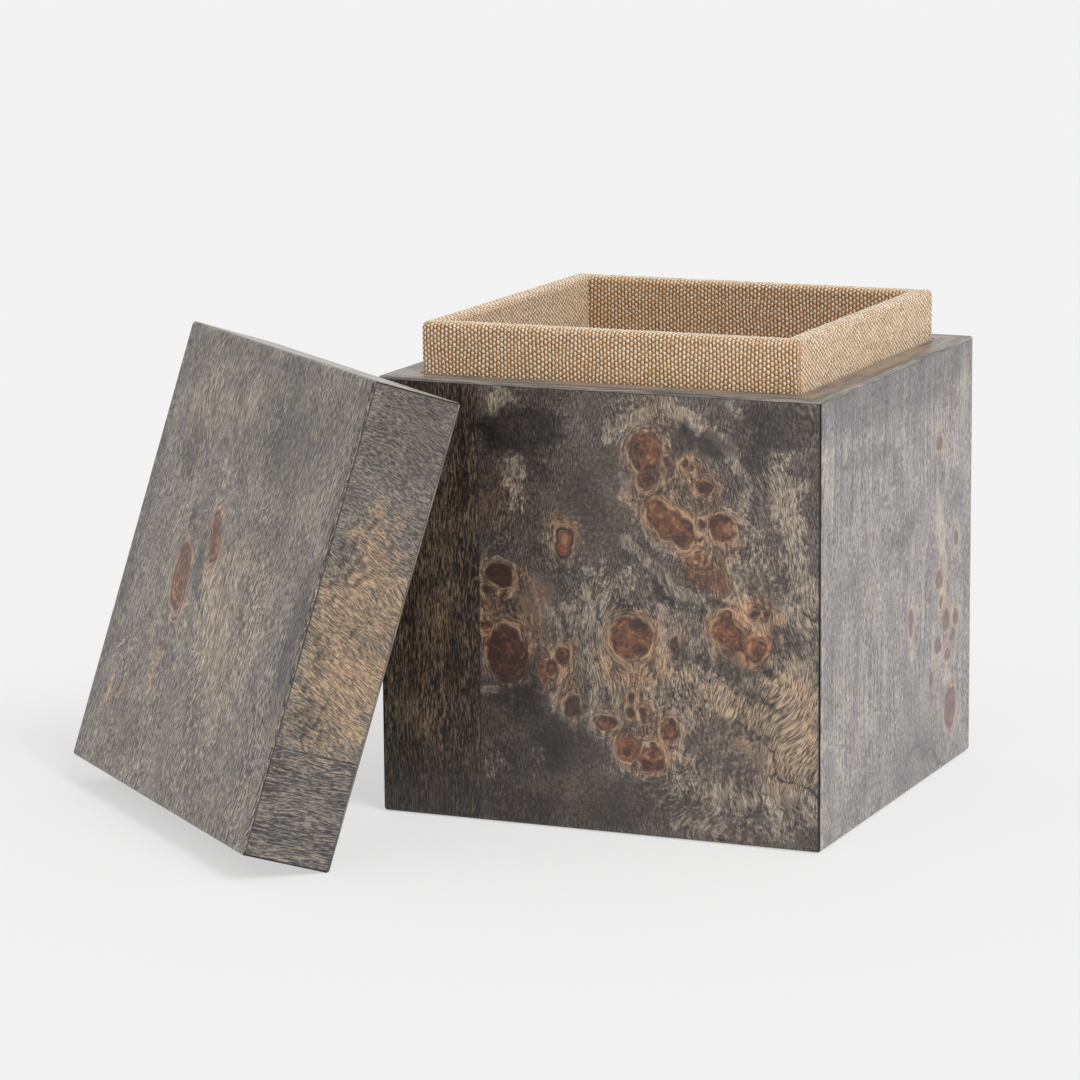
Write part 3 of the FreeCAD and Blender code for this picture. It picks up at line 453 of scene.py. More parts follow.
lidTopFigure = {  # millimetres to the front of the middle, and along the grain from the left end
    "seed": 51, "wander": (1.3, 20),
    "eyes": [
        (-6.4, 63.2, 2.9, 6.9, 26, 0.7, 0.95, 0.15, 1.6),
        (-19.3, 51.6, 4.5, 8.6, 14, 0.9, 0.95, 0.15, 1.6),
    ],
    "cores": [(-18.4, 51.6, 2.2, 5.4, 14, 0.5), (-22.4, 46.4, 1, 2, 0, 0.5), (-6.6, 64.6, 1.3, 4, 26, 0.6)],
    "glows": [
        (-21, 38, 2.2, 6, 0, 0.5), (-8, 56, 2, 3, 10, 0.5), (-37, 21, 1, 2.6, 20, 0.35),
        (-44.4, 17.4, 1.1, 3.6, 20, 0.35),
    ],
    "ribbons": [
        (0.6, 0.9, [(-8.6, 106), (-13, 98), (-17.5, 90), (-22, 80)]),
        (0.7, 1, [(-9, 92), (-9.3, 82), (-8.4, 71), (-4.6, 64)]),
        (0.5, 0.8, [(-14, 104), (-13, 92), (-11, 80)]),
        (0.8, 0.9, [(-27, 74), (-26, 64), (-24.6, 52), (-23, 40)]),
        (0.5, 1, [(-13.6, 57.4), (-17, 61.2), (-20.8, 61.6), (-23.8, 60.4)]),
        (0.5, 0.9, [(-24, 72), (-28, 67.5), (-29.7, 65.1)]),
        (0.8, 0.8, [(-8.6, 42), (-12.6, 41.5), (-13.4, 45.5), (-10.4, 47.4)]),
        (0.4, 0.9, [(-19, 107), (-27, 88)]), (0.4, 0.8, [(-25, 106), (-31, 84), (-33, 74)]),
        (0.4, 0.8, [(-33, 105), (-38, 88)]), (0.35, 0.9, [(-2, 106), (-5, 96), (-8, 86)]),
        (0.9, 1.6, [(-36.2, 23.4), (-37.6, 18.6)]), (1, 1.6, [(-43.2, 21), (-45.4, 13.8)]),
        (0.4, 0.7, [(-30, 44), (-33, 41), (-36.7, 35.6), (-46.7, 28.5)]),
        (0.5, 0.6, [(-34, 67), (-29, 65.4), (-25.4, 70)]),
    ],
    "cream": [
        (-9.4, 75, 1.4, 7, 4, 0.9), (-24.5, 62, 2.2, 9, -8, 0.7), (18, 44, 17, 24, 10, 0.6),
        (2, 47, 8, 14, 20, 1), (-14, 96, 12, 10, 10, 0.95), (-27, 44, 2, 13, 0, 0.5),
        (-33, 92, 9, 14, 0, 0.85), (-13.5, 84, 2, 8, 0, 0.6), (-29, 54, 3, 11, 12, 0.7),
        (-24.6, 64.5, 2, 4.6, -10, 0.9), (-29.7, 65.1, 1.6, 3.4, 20, 0.8), (-20.5, 25, 1.8, 13, 0, 0.6),
    ],
    "smooth": [
        (-11, 55, 4.6, 5, 0, 0.6), (-19, 67, 5, 4, 0, 0.7), (-40, 50, 7, 14, 0, 0.4),
        (-20.5, 25, 2.6, 12, 0, 0.7),
    ],
    "shade": [
        (-20.8, 64.2, 2.4, 2.6, 0, 1), (-10.5, 53.6, 4.2, 4.6, 30, 0.5), (-11.8, 60, 1.8, 4, 20, 0.35),
        (0, 100, 60, 14, 0, 0.3), (-33.4, 82, 5, 9, 10, 0.5), (49.6, 55, 4, 11, 0, 0.5),
        (50, 39, 4, 9, 0, 0.4), (20, 88, 14, 12, 0, 0.3), (24, 66, 12, 7, 0, 0.35),
        (-22, 56, 8, 6, 0, 0.25), (-53, 55, 3.5, 62, 0, 0.35), (53, 75, 3.5, 50, 0, 0.3),
        (-10, 85, 50, 6, 0, 0.2), (-30, 12, 16, 8, 0, 0.2),
    ],
    "warm": [
        (-20, 27, 3.4, 14, 0, 0.6), (10, 46, 16, 22, 0, 0.2), (-37, 21, 1.8, 3.4, 0, 1),
        (-44.3, 17.4, 2, 4.6, 0, 1),
    ],
    "leans": [(-12, 82, 16, -0.3), (4, 46, 14, -0.25)],
}

lidFrontFigure = {  # millimetres along from the middle and up from the rim
    "seed": 71, "wander": (0.35, 9),
    "cream": [(-6, 10, 27, 15, 0, 0.72), (20, 12, 9, 5, 0, 0.55), (44, 14, 8, 4, 20, 0.3)],
    "shade": [(46, 10, 12, 10, 0, 0.3), (-24, 17, 4, 5, 0, 0.3)] + [  # and fiddleback ripples: place and lean
        (x, y, 2, 0.65, leanDegrees, 0.55) for x, y, leanDegrees in (
            (22.5, 17.5, -20), (19, 16, -25), (18, 19, -15), (15.5, 14.5, -30), (14, 18, -20),
            (11.5, 15.5, -30), (10.5, 12.5, -35), (9.5, 18.5, -20), (7, 15, -30), (5, 18, -20),
            (13, 10.5, -35), (-4, 18.5, -15), (-7.5, 17, -20), (-15.5, 18.5, -10), (-18.5, 16.5, -15),
            (-18, 12.5, -15), (-21.5, 18, -10), (-22, 13.5, -10), (-25, 16, 0), (-25.5, 11.5, 0),
            (24, 13, -30), (-1, 11, -30))
    ],
    "warm": [(0, 9, 29, 13, 0, 0.6)],
    "leans": [(-4, 10, 34, 0.55), (44, 10, 16, 0.35)],
}

stripFigure = {  # the plain strip that the front's burl is joined to; places as on the front
    "seed": 91, "wander": (0.3, 10),
    "cream": [
        (-41, 66, 9, 26, 0, 0.34), (-50, 30, 3, 16, 0, 0.35), (-41, 20, 4, 10, 0, 0.35),
        (-29.8, 50, 0.5, 60, 0, 0.7),
    ],
    "shade": [
        # the first, low on the strip, is painted shade, darker towards the floor
        (-42, 6, 18, 12, 0, 0.6), (-47, 66, 4, 18, 0, 0.4), (-36, 40, 3, 12, 0, 0.4),
        (-34, 94, 6, 8, 0, 0.4),
    ],
    "warm": [(-44, 36, 9, 24, 0, 0.6), (-37, 70, 4, 14, 0, 0.5)],
}

lidStripFigure = {  # and the same strip's end on the lid
    "seed": 93, "wander": (0.25, 8),
    "cream": [(-31, 10, 1, 14, 0, 0.5), (-53.5, 10, 1.5, 12, 0, 0.5)],
    "warm": [(-33, 10, 2.5, 14, 0, 0.7)],
}

# the veneer's finish: mappa burl, dyed grey through its thickness, with a thin satin lacquer over it;
# the eye sees short two-tone fibres, cream ones that took less dye, red-brown eyes and a soft sheen
frontDyes = {
    "darkFibre": "#262425", "midFibre": "#4f4641", "paleFibre": "#85786b",
    "creamGap": "#4b443e", "creamMid": "#8d7f70", "cream": "#c6b39d", "ground": "#544b44",
    "red": "#805039", "heart": "#3a231c", "glow": "#b98a60", "outline": "#c3a785",
    "shade": "#75737c", "tide": "#26262b", "glue": "#211e1e",
    "warmTint": (1.36, 1.03, 0.75, 1), "redTint": (1.36, 0.86, 0.6, 1),
    "pepper": 0.86,    # contrast of the fibres
    "lines": 0.0,      # how far they run together in straight lines
    "fibre": (1, 1),   # how much broader and longer they are than on the front
}
# the front's dyes made paler, greyer and hazier for the sides: painted light and sheen from the lamp on the
# right; the straighter, broader fibres are the leaf's own
sideDyesPaintedLit = dict(frontDyes, darkFibre="#4d4b54", midFibre="#858080", paleFibre="#b9b1a5", creamGap="#7c7672",
                 creamMid="#a0978c", cream="#c8bcab", ground="#837e7c", shade="#9796a4", red="#7e5c50",
                 heart="#604a4a", glow="#a78b76", outline="#b3a594", tide="#57565d", pepper=1.15, lines=0.6,
                 fibre=(1.4, 1.2))
lidTopDyes = dict(frontDyes, darkFibre="#323036", midFibre="#655f5d", paleFibre="#b8a790", creamGap="#494542",
                  creamMid="#8c7f6e", cream="#d2bfa5", ground="#66615d", shade="#85848b", red="#6f351f",
                  heart="#361a10", glow="#c4854f", outline="#b59c7c", pepper=1.45, lines=0.12,
                  fibre=(1.05, 1.5))
# the lid top's dyes made paler for the lid's side that faces up: painted light and sheen
lidUpSideLitDyes = dict(lidTopDyes, darkFibre="#6d6964", midFibre="#9a948b", paleFibre="#bcb5a9",
                   creamGap="#8b857d", creamMid="#b3ab9f", cream="#d2cabd", ground="#9b958c")
lidFrontDyes = dict(frontDyes, darkFibre="#3c3b3f", midFibre="#625c58", paleFibre="#918676",
                    creamGap="#5c5046", creamMid="#847461", cream="#b5a084", ground="#5f5955",
                    shade="#6b676a", pepper=1.3, fibre=(1, 1.2))
# poplar veneer, straight sliced, in the same dye and lacquer: long plain fibres and no eyes
stripDyes = dict(frontDyes, darkFibre="#171415", midFibre="#3b322c", paleFibre="#82705b", creamGap="#2c2623",
                 creamMid="#5d4f40", cream="#97826a", ground="#37302a", pepper=1.4, lines=0.4,
                 fibre=(1.1, 1.8), warmTint=(1.22, 1.02, 0.82, 1))
lidStripDyes = dict(stripDyes, darkFibre="#2f2d33", midFibre="#57524f", paleFibre="#8f867a",
                    creamGap="#4b4644", creamMid="#756b60", cream="#a39581", ground="#55504d")
lacquer = {"IOR": 1.5, "Coat Weight": 0.3, "Coat Roughness": 0.3}
fieldParts = {  # what each vector that a leaf carries holds
    "flow": ("across", "along", "warm"), "eye": ("outline", "rim", "red"), "heart": ("dark", "rings", "halo"),
    "patch": ("cream", "smooth", "shade"), "tide": ("tide", "smoke", "seam"),
}


def makeBurlVeneer(name, dyes):
    material, tree, shader = startMaterial(name)
    colours = {key: toLinear(value) for key, value in dyes.items() if isinstance(value, str)}
    fields = {}
    for field, parts in fieldParts.items():
        vector = addNode(tree, "Attribute", out="Vector", attribute_name=field)
        fields.update(zip(parts, addNode(tree, "SeparateXYZ", [vector]).node.outputs))

    # features across and along the fibres, in millimetres; real fibres are a third as broad and wouldn't show
    wide, long = dyes["fibre"]
    flow = addNode(tree, "CombineXYZ", [fields["across"], fields["along"]])
    pepper, hair, streak, line, cloud, ragged, tissue, curlLine = addGrain(
        tree, flow,
        ((0.3 * wide, 1.1 * long, 1), 3.0, 0.65),   # short two-tone fibres
        ((0.22 * wide, 3.2 * long, 1), 1.0, 0.5),   # long hairs between them
        ((0.34 * wide, 2.5 * long, 1), 3.0, 0.65),  # longer fibres in the cream
        ((0.3, 60, 1), 2.0, 0.5),                   # growth lines
        ((9, 14, 1), 3.0, 0.5),                     # clouds of dye
        ((1.2, 1.7, 1), 3.0, 0.5),                  # raggedness of every outline
        ((1.3 * wide, 6.5, 1), 3.0, 0.6),           # wisps of cream
        ((0.8, 60, 1), 2.0, 0.6))                   # fibres in step, where they curl
    wrap = addNode(tree, "CombineXYZ", [fields["outline"], fields["across"], fields["along"]])
    contour, swirl = addGrain(tree, wrap,  # round the eyes
                              ((0.38, 1.7, 1.7), 3.0, 0.6), ((0.9, 1.5, 1.5), 3.0, 0.6))
    place = addNode(tree, "TexCoord", out="Object")
    fleck, blotch = addGrain(tree, place, ([0.9 * mm] * 3, 3.0, 0.5), ([2.6 * mm] * 3, 3.0, 0.5))

    # where the cream lies, in wisps near the edge of each patch
    creamTorn = addNode(tree, "Math", [tissue, swirl], operation="ADD")
    creamEdge = addNode(tree, "Math", [creamTorn, 3.2, -3.15], operation="MULTIPLY_ADD")
    creamNear = addNode(tree, "Math", [fields["cream"], 2.5, 0.15], operation="MULTIPLY_ADD", use_clamp=True)
    creamThere = addNode(tree, "Math", [creamEdge, creamNear, fields["cream"]], operation="MULTIPLY_ADD")
    creamShare = addNode(tree, "MapRange", [creamThere, 0.02, 1.0], **eased)

    # tone of the fibres: velvety where the wood is smooth, wrapped round the eyes, in streaks in the cream
    plainFibre = addNode(tree, "Mix", {0: 0.35, 2: pepper, 3: hair})
    velvetShare = addNode(tree, "Math", [fields["smooth"], 0.7], operation="MULTIPLY", use_clamp=True)
    velvet = addNode(tree, "Mix", {0: velvetShare, 2: plainFibre, 3: fleck})
    nearEye = addNode(tree, "MapRange", [fields["outline"], 3.6, 0.3, 0, 0.6], **eased)
    wrapped = addNode(tree, "Mix", {0: nearEye, 2: velvet, 3: contour})
    streakShare = addNode(tree, "MapRange", [fields["cream"], 0.5, 1.0, 0.1, 0.75])
    streaked = addNode(tree, "Mix", {0: streakShare, 2: wrapped, 3: streak})
    straight = addNode(tree, "Mix", {0: 0.5 * dyes["lines"], 2: streaked, 3: line})
    curlShare = addNode(tree, "Math", [fields["rings"], 0.45], operation="MULTIPLY")
    lined = addNode(tree, "Mix", {0: curlShare, 2: straight, 3: curlLine})
    swing = addNode(tree, "Math", [lined, 0.5], operation="SUBTRACT")
    strong, weak = 5.3 * dyes["pepper"], 2.7 * dyes["pepper"]  # contrast on plain and on smooth wood
    contrast = addNode(tree, "MapRange", [fields["smooth"], 0, 1, strong, weak])
    quiet = addNode(tree, "Math", [nearEye, -0.55, 1], operation="MULTIPLY_ADD")
    calm = addNode(tree, "Math", [contrast, quiet], operation="MULTIPLY")
    cloudy = addNode(tree, "Math", [cloud, 0.9, 0.05], operation="MULTIPLY_ADD")
    tone = addNode(tree, "Math", [swing, calm, cloudy], operation="MULTIPLY_ADD")
    fibres = addNode(tree, "ValToRGB", [tone], stops=[
        (0.08, dyes["darkFibre"]), (0.95, dyes["paleFibre"]), (0.5, dyes["midFibre"])])
    creams = addNode(tree, "ValToRGB", [tone], stops=[
        (0.12, dyes["creamGap"]), (0.86, dyes["cream"]), (0.5, dyes["creamMid"])])
    smoothShare = addNode(tree, "Math", [fields["smooth"], 0.32], operation="MULTIPLY", use_clamp=True)

    # broad tints: warm where it stayed brown, shade where the dye pooled and painted shade in the low bands
    # by the floor, lifted where it ran off
    warmShare = addNode(tree, "Math", [fields["warm"], cloud], operation="MULTIPLY", use_clamp=True)
    shadeTorn = addNode(tree, "Math", [ragged, 1.2, 0.5], operation="MULTIPLY_ADD")
    shadeShare = addNode(tree, "Math", [fields["shade"], shadeTorn], operation="MULTIPLY", use_clamp=True)
    lift = addNode(tree, "Math", [fields["shade"], -0.6], operation="MULTIPLY", use_clamp=True)
    haloTorn = addNode(tree, "Math", [swirl, 1.6, -0.2], operation="MULTIPLY_ADD")
    haloShare = addNode(tree, "Math", [fields["halo"], haloTorn], operation="MULTIPLY", use_clamp=True)
    redShare = addNode(tree, "Math", [haloShare, 0.28], operation="MULTIPLY")

    # inside an eye: soft red-brown, mottled with dark hearts and faint rings, browner at its edge
    wobble = addNode(tree, "Math", [ragged, 1.2, -0.6], operation="MULTIPLY_ADD")
    edge = addNode(tree, "Math", [fields["outline"], wobble], operation="ADD")
    ringPhase = addNode(tree, "Math", [ragged, 16.0], operation="MULTIPLY")
    ringAngle = addNode(tree, "Math", [fields["outline"], 4.2, ringPhase], operation="MULTIPLY_ADD")
    ringWave = addNode(tree, "Math", [ringAngle], operation="SINE")
    ringPart = addNode(tree, "Math", [ringWave, fields["rings"]], operation="MULTIPLY")
    mottle = addNode(tree, "Mix", {0: 0.38, 2: blotch, 3: fleck})
    mottled = addNode(tree, "Math", [mottle, 2.7, -0.8], operation="MULTIPLY_ADD")
    ringed = addNode(tree, "Math", [ringPart, 0.2, mottled], operation="MULTIPLY_ADD")
    hearted = addNode(tree, "Math", [fields["dark"], -0.7, ringed], operation="MULTIPLY_ADD")
    rimAway = addNode(tree, "Math", [edge, 0.5], operation="ADD")
    rimNear = addNode(tree, "Math", [rimAway], operation="ABSOLUTE")
    rimRing = addNode(tree, "MapRange", [rimNear, 0.7, 0.1, 0, -0.22], **eased)
    eyeValue = addNode(tree, "Math", [hearted, rimRing], operation="ADD")
    eyeTone = addNode(tree, "ValToRGB", [eyeValue], stops=[
        (0.02, dyes["heart"]), (1.0, dyes["glow"]), (0.5, dyes["red"])])
    inside = addNode(tree, "MapRange", [edge, 0.45, -0.65], **eased)
    eyeShare = addNode(tree, "Math", [inside, 0.9], operation="MULTIPLY")

    # the pale outline, or a dark one where the rim is negative
    outAway = addNode(tree, "Math", [edge, 0.4], operation="SUBTRACT")
    outNear = addNode(tree, "Math", [outAway], operation="ABSOLUTE")
    paleLine = addNode(tree, "MapRange", [outNear, 0.5, 0.0], **eased)
    paleTorn = addNode(tree, "Math", [tissue, 6.0, -2.6], operation="MULTIPLY_ADD", use_clamp=True)
    paleHere = addNode(tree, "Math", [paleLine, paleTorn], operation="MULTIPLY")
    paleShare = addNode(tree, "Math", [paleHere, fields["rim"]], operation="MULTIPLY", use_clamp=True)
    ringAway = addNode(tree, "Math", [edge], operation="ABSOLUTE")
    darkLine = addNode(tree, "MapRange", [ringAway, 0.45, 0.1, 0, -1], **eased)
    darkShare = addNode(tree, "Math", [darkLine, fields["rim"]], operation="MULTIPLY", use_clamp=True)

    # tide lines where the dye stopped, smoky on one side; glue lines at the mitres and seams
    tideAway = addNode(tree, "Math", [wobble, 0.5, fields["tide"]], operation="MULTIPLY_ADD")
    tideNear = addNode(tree, "Math", [tideAway], operation="ABSOLUTE")
    tideLine = addNode(tree, "MapRange", [tideNear, 0.75, 0.2, 0, 0.85], **eased)
    smoky = addNode(tree, "Math", [fields["smoke"], 0.45], operation="MULTIPLY")
    tideShare = addNode(tree, "Math", [tideLine, smoky], operation="MAXIMUM")
    glue = addNode(tree, "MapRange", [fields["seam"], 0.3, 0.0, 0, 0.8], **eased)

    body = layColours(
        tree, fibres,
        (creamShare, creams, "MIX"), (smoothShare, colours["ground"], "MIX"),
        (warmShare, dyes["warmTint"], "MULTIPLY"), (shadeShare, colours["shade"], "MULTIPLY"),
        (lift, colours["creamMid"], "MIX"), (haloShare, dyes["redTint"], "MULTIPLY"),
        (redShare, colours["red"], "MIX"), (eyeShare, eyeTone, "MIX"),
        (paleShare, colours["outline"], "MIX"), (darkShare, colours["heart"], "MIX"),
        (tideShare, colours["tide"], "MIX"), (glue, colours["glue"], "MIX"))
    sheen = addNode(tree, "MapRange", [pepper, 0.3, 0.7, 0.52, 0.42])  # satin, glossier on the pale fibres
    height = addNode(tree, "Math", [hair, 0.5, wrapped], operation="MULTIPLY_ADD")
    bump = addNode(tree, "Bump", {"Strength": 0.4, "Distance": 0.03 * mm, "Height": height})
    setInputs(tree, shader, {"Base Color": body, "Roughness": sheen, "Normal": bump, **lacquer})
    return material


# the leaves, laid as slabs with mitred ends that turn over the arris
leaves = {
    "arrisMm": 0.8,
    "pitchMm": 0.46,       # grid lines on the figured sides
    "plainPitchMm": 0.75,  # and on the sides that turn away
    "turnDegrees": {"mitre": 45, "round": 78, "seam": 0},  # how far each kind of end turns over
    "turnSteps": 4,
    "sharpDegrees": 32,    # edges that turn further than this stay crisp
}
arris = leaves["arrisMm"] * mm


def gridStops(low, high, ends, pitch):  # where the grid's lines fall, closer together over a turned end
    turned = []
    for end, limit, inward in ((ends[0], low, 1), (ends[1], high, -1)):
        steps = leaves["turnSteps"] if leaves["turnDegrees"][end] else 0
        angles = [math.radians(leaves["turnDegrees"][end]) * (1 - k / steps) for k in range(steps)]
        turned.append([limit + inward * arris * (1 - math.tan(angle)) for angle in angles])
    flatLow, flatHigh = low + arris * bool(turned[0]), high - arris * bool(turned[1])
    flat = np.linspace(flatLow, flatHigh, round((flatHigh - flatLow) / pitch) + 1)
    return np.array(turned[0] + list(flat) + turned[1][::-1])


def slabMesh(name, columns, rows):  # a grid of so many columns and rows, with a rim and a flat back face
    bm = bmesh.new()
    bmesh.ops.create_grid(bm, x_segments=columns, y_segments=rows, size=0.5)
    back = bmesh.ops.edgeloop_fill(bm, edges=[e for e in bm.edges if e.is_boundary])["faces"]
    back = bmesh.ops.extrude_discrete_faces(bm, faces=back)["faces"]
    bmesh.ops.translate(bm, verts=back[0].verts[:], vec=(0, 0, -1))
    bmesh.ops.recalc_face_normals(bm, faces=bm.faces)
    mesh = bpy.data.meshes.new(name)
    bm.to_mesh(mesh)
    bm.free()
    return mesh


def placeMesh(mesh, points, sharpDegrees):
    mesh.vertices.foreach_set("co", points.ravel())
    mesh.update()
    mesh.shade_smooth()
    mesh.set_sharp_from_angle(angle=math.radians(sharpDegrees))


def addPiece(name, mesh, material, body, slot, *nodes):
    piece = bpy.data.objects.new(name, mesh)
    bpy.context.scene.collection.objects.link(piece)
    mesh.materials.append(material)
    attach(piece, body)
    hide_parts(*nodes)
    return piece


def addLeaf(node, ends, figure, material, slot, pitchMm):
    body, side = node.split("_")[:2]
    axes = facing(body, side)
    bodyLow, bodyHigh = boxAlong(axes, body + "_")
    low, high = boxAlong(axes, node)
    thickness = high[2] - low[2]
    stops = [gridStops(low[k], high[k], ends[k], pitchMm * mm) for k in (0, 1)]
    mesh = slabMesh(node + "_leaf", len(stops[0]) - 1, len(stops[1]) - 1)
    counts = meshPoints(mesh)
    lines = [(counts[:, k] + 0.5) * (len(stops[k]) - 1) for k in (0, 1)]
    flatPlaces = [np.interp(lines[k], np.arange(len(stops[k])), stops[k]) for k in (0, 1)]
    sharp = np.column_stack(flatPlaces + [np.full(len(counts), high[2])])
    kept = np.clip(sharp, bodyLow + arris, bodyHigh - arris)  # what lies past this box turns over the arris
    over = sharp - kept
    points = kept + arris * over / np.linalg.norm(over, axis=1)[:, None]
    backLow = [low[k] + thickness * (ends[k][0] == "mitre") for k in (0, 1)]
    backHigh = [high[k] - thickness * (ends[k][1] == "mitre") for k in (0, 1)]
    back = counts[:, 2] < -0.5
    points[back, :2] = np.clip(sharp[back, :2], backLow, backHigh)
    points[back, 2] = low[2]
    placeMesh(mesh, points @ axes, leaves["sharpDegrees"])

    # the figure's fields, in millimetres from the middle of the side and up from its low edge
    reachOver = np.hypot(over[:, 0], over[:, 1])
    roundArris = arris * np.arctan2(reachOver, over[:, 2]) / np.maximum(reachOver, 1e-9)
    flat = kept[:, :2] + over[:, :2] * roundArris[:, None]  # the leaf as it lay before it was turned over
    seam = np.full(len(points), outlineReachMm)
    for k in (0, 1):
        for end, limit, inward in ((ends[k][0], low[k], 1), (ends[k][1], high[k], -1)):
            turn = math.radians(leaves["turnDegrees"][end])
            limit = limit + inward * arris * ((turn > 0) - turn)
            seam = np.minimum(seam, inward * (flat[:, k] - limit) / mm)
    x, y = (flat[:, 0] - (bodyLow[0] + bodyHigh[0]) / 2) / mm, (flat[:, 1] - bodyLow[1]) / mm
    fields = burlFields(x, y, figure)
    fields["tide"] += (np.maximum(seam, 0),)
    for name, parts in fields.items():
        data = mesh.attributes.new(name, "FLOAT_VECTOR", "POINT").data
        data.foreach_set("vector", np.column_stack(parts).astype(np.float32).ravel())
    addPiece(node + "_leaf", mesh, material, body, slot, node)


frontVeneer = makeBurlVeneer("dyed mappa burl, sliced and lacquered, dark", frontDyes)
sideVeneerPaintedLit = makeBurlVeneer("dyed mappa burl, sliced and lacquered, grey, painted lit", sideDyesPaintedLit)
lidTopVeneer = makeBurlVeneer("dyed mappa burl, sliced and lacquered, lid", lidTopDyes)
lidUpSideLitVeneer = makeBurlVeneer("dyed mappa burl, sliced and lacquered, pale", lidUpSideLitDyes)
lidFrontVeneer = makeBurlVeneer("dyed mappa burl, sliced and lacquered, tan", lidFrontDyes)
stripVeneer = makeBurlVeneer("dyed poplar, straight sliced and lacquered", stripDyes)
lidStripVeneer = makeBurlVeneer("dyed poplar, straight sliced and lacquered, lid", lidStripDyes)

fine, plain = leaves["pitchMm"], leaves["plainPitchMm"]
mitred, caseUp, lidUp = ("mitre", "mitre"), ("round", "seam"), ("seam", "seam")
turnedOver, stripEnds, burlEnds = ("round", "round"), ("mitre", "seam"), ("seam", "mitre")
burl, straight = "burl_veneer", "straight_veneer"
leafList = [  # node, ends across and up, figure, finish, slot, pitch
    ("case_front_strip_veneer", (stripEnds, caseUp), stripFigure, stripVeneer, straight, fine),
    ("case_front_burl_veneer", (burlEnds, caseUp), frontFigure, frontVeneer, burl, fine),
    # the right side's pale, hazy colour is painted light and sheen
    ("case_right_veneer", (mitred, caseUp), rightFigure, sideVeneerPaintedLit, burl, fine),
    ("case_back_veneer", (mitred, caseUp), scatterFigure(5, 110, 104, 6), frontVeneer, burl, plain),
    ("case_left_veneer", (mitred, caseUp), scatterFigure(8, 110, 104, 4), sideVeneerPaintedLit, burl, plain),
    ("lid_top_veneer", (turnedOver, turnedOver), lidTopFigure, lidTopVeneer, burl, fine),
    ("lid_front_strip_veneer", (stripEnds, lidUp), lidStripFigure, lidStripVeneer, straight, fine),
    ("lid_front_burl_veneer", (burlEnds, lidUp), lidFrontFigure, lidFrontVeneer, burl, fine),
    # the lid's side that faces up takes the paler copy, painted light and sheen
    ("lid_right_veneer", (mitred, lidUp), scatterFigure(12, 110, 22, 2), lidUpSideLitVeneer, burl, plain),
    ("lid_back_veneer", (mitred, lidUp), scatterFigure(14, 110, 22, 3), lidFrontVeneer, burl, plain),
    ("lid_left_veneer", (mitred, lidUp), scatterFigure(17, 110, 22, 2), lidTopVeneer, burl, plain),
]
for leaf in leafList:
    addLeaf(*leaf)
print("leaves laid")

# solid wood, fibreboard and felt on the carried-over nodes
lidBox = boxAlong(bodyAxes["lid"], "lid_")
lidOrigin = Vector((lidBox[0] + lidBox[1]) / 2 @ bodyAxes["lid"])
lippingDyes = {
    "dark": "#454241", "mid": "#6c6660", "pale": "#968b7d",
    "tan": "#9a846c", "tanShare": 0.8,  # where the dye is sanded thin
    "greyFromMm": 52.3,                 # from the middle of the body, where the dye went deeper
}
liningDyes = {"dark": "#3a3839", "mid": "#56524e", "pale": "#746c61", "tan": "#7a6852", "tanShare": 0.4,
              "greyFromMm": 99}
boardColours = {  # pale and dark
    "stained": ("#4a4744", "#302e2e"), "grey": ("#8d8a84", "#6f6b66"), "felt": ("#55524f", "#2f2d2c"),
}


def makeSolidWood(name, body, alongAxis, dyes):
    # dyed hardwood edging, sawn, sanded and lacquered: long straight fibres, tan where the dye is sanded thin
    material, tree, shader = startMaterial(name)
    where = addNode(tree, "TexCoord", out="Object")
    turned = Matrix(bodyAxes[body].tolist()).transposed()  # so that x runs along the grain
    if alongAxis != "x":
        turned = turned @ Matrix.Rotation(math.radians(90), 3, "Z")
    origin = lidOrigin if body == "lid" else (0, 0, 0)
    inputs = {"Vector": where, "Location": origin, "Rotation": turned.to_euler(), "Scale": (mm, mm, mm)}
    space = addNode(tree, "Mapping", inputs, vector_type="TEXTURE")
    fibre, band, drift = addGrain(  # sizes in millimetres; the fibres are drawn coarse enough to show
        tree, space, ((7.0, 0.42, 0.42), 3.0, 0.5), ((24, 1.8, 1.8), 2.0, 0.5), ((17, 8, 8), 3.0, 0.5))
    mixed = addNode(tree, "Mix", {0: 0.45, 2: fibre, 3: band})
    tone = addNode(tree, "MapRange", [mixed, 0.38, 0.62])
    wood = addNode(tree, "ValToRGB", [tone], stops=[
        (0.0, dyes["dark"]), (1.0, dyes["pale"]), (0.5, dyes["mid"])])
    tanShare = addNode(tree, "MapRange", [drift, 0.4, 0.6, 0, dyes["tanShare"]], **eased)
    across = addNode(tree, "SeparateXYZ", [space], out=1)
    edgeAway = addNode(tree, "Math", [across], operation="ABSOLUTE")
    ragged = addNode(tree, "Math", [drift, 6.0, edgeAway], operation="MULTIPLY_ADD")
    inner = addNode(tree, "MapRange", [ragged, dyes["greyFromMm"] + 3.6, dyes["greyFromMm"] + 2.4])
    tanHere = addNode(tree, "Math", [tanShare, inner], operation="MULTIPLY")
    wood = layColours(tree, wood, (tanHere, toLinear(dyes["tan"]), "MIX"))
    sheen = addNode(tree, "MapRange", [fibre, 0.3, 0.7, 0.5, 0.4])
    bump = addNode(tree, "Bump", {"Strength": 0.4, "Distance": 0.04 * mm, "Height": fibre})
    setInputs(tree, shader, {"Base Color": wood, "Roughness": sheen, "Normal": bump, **lacquer})
    return material


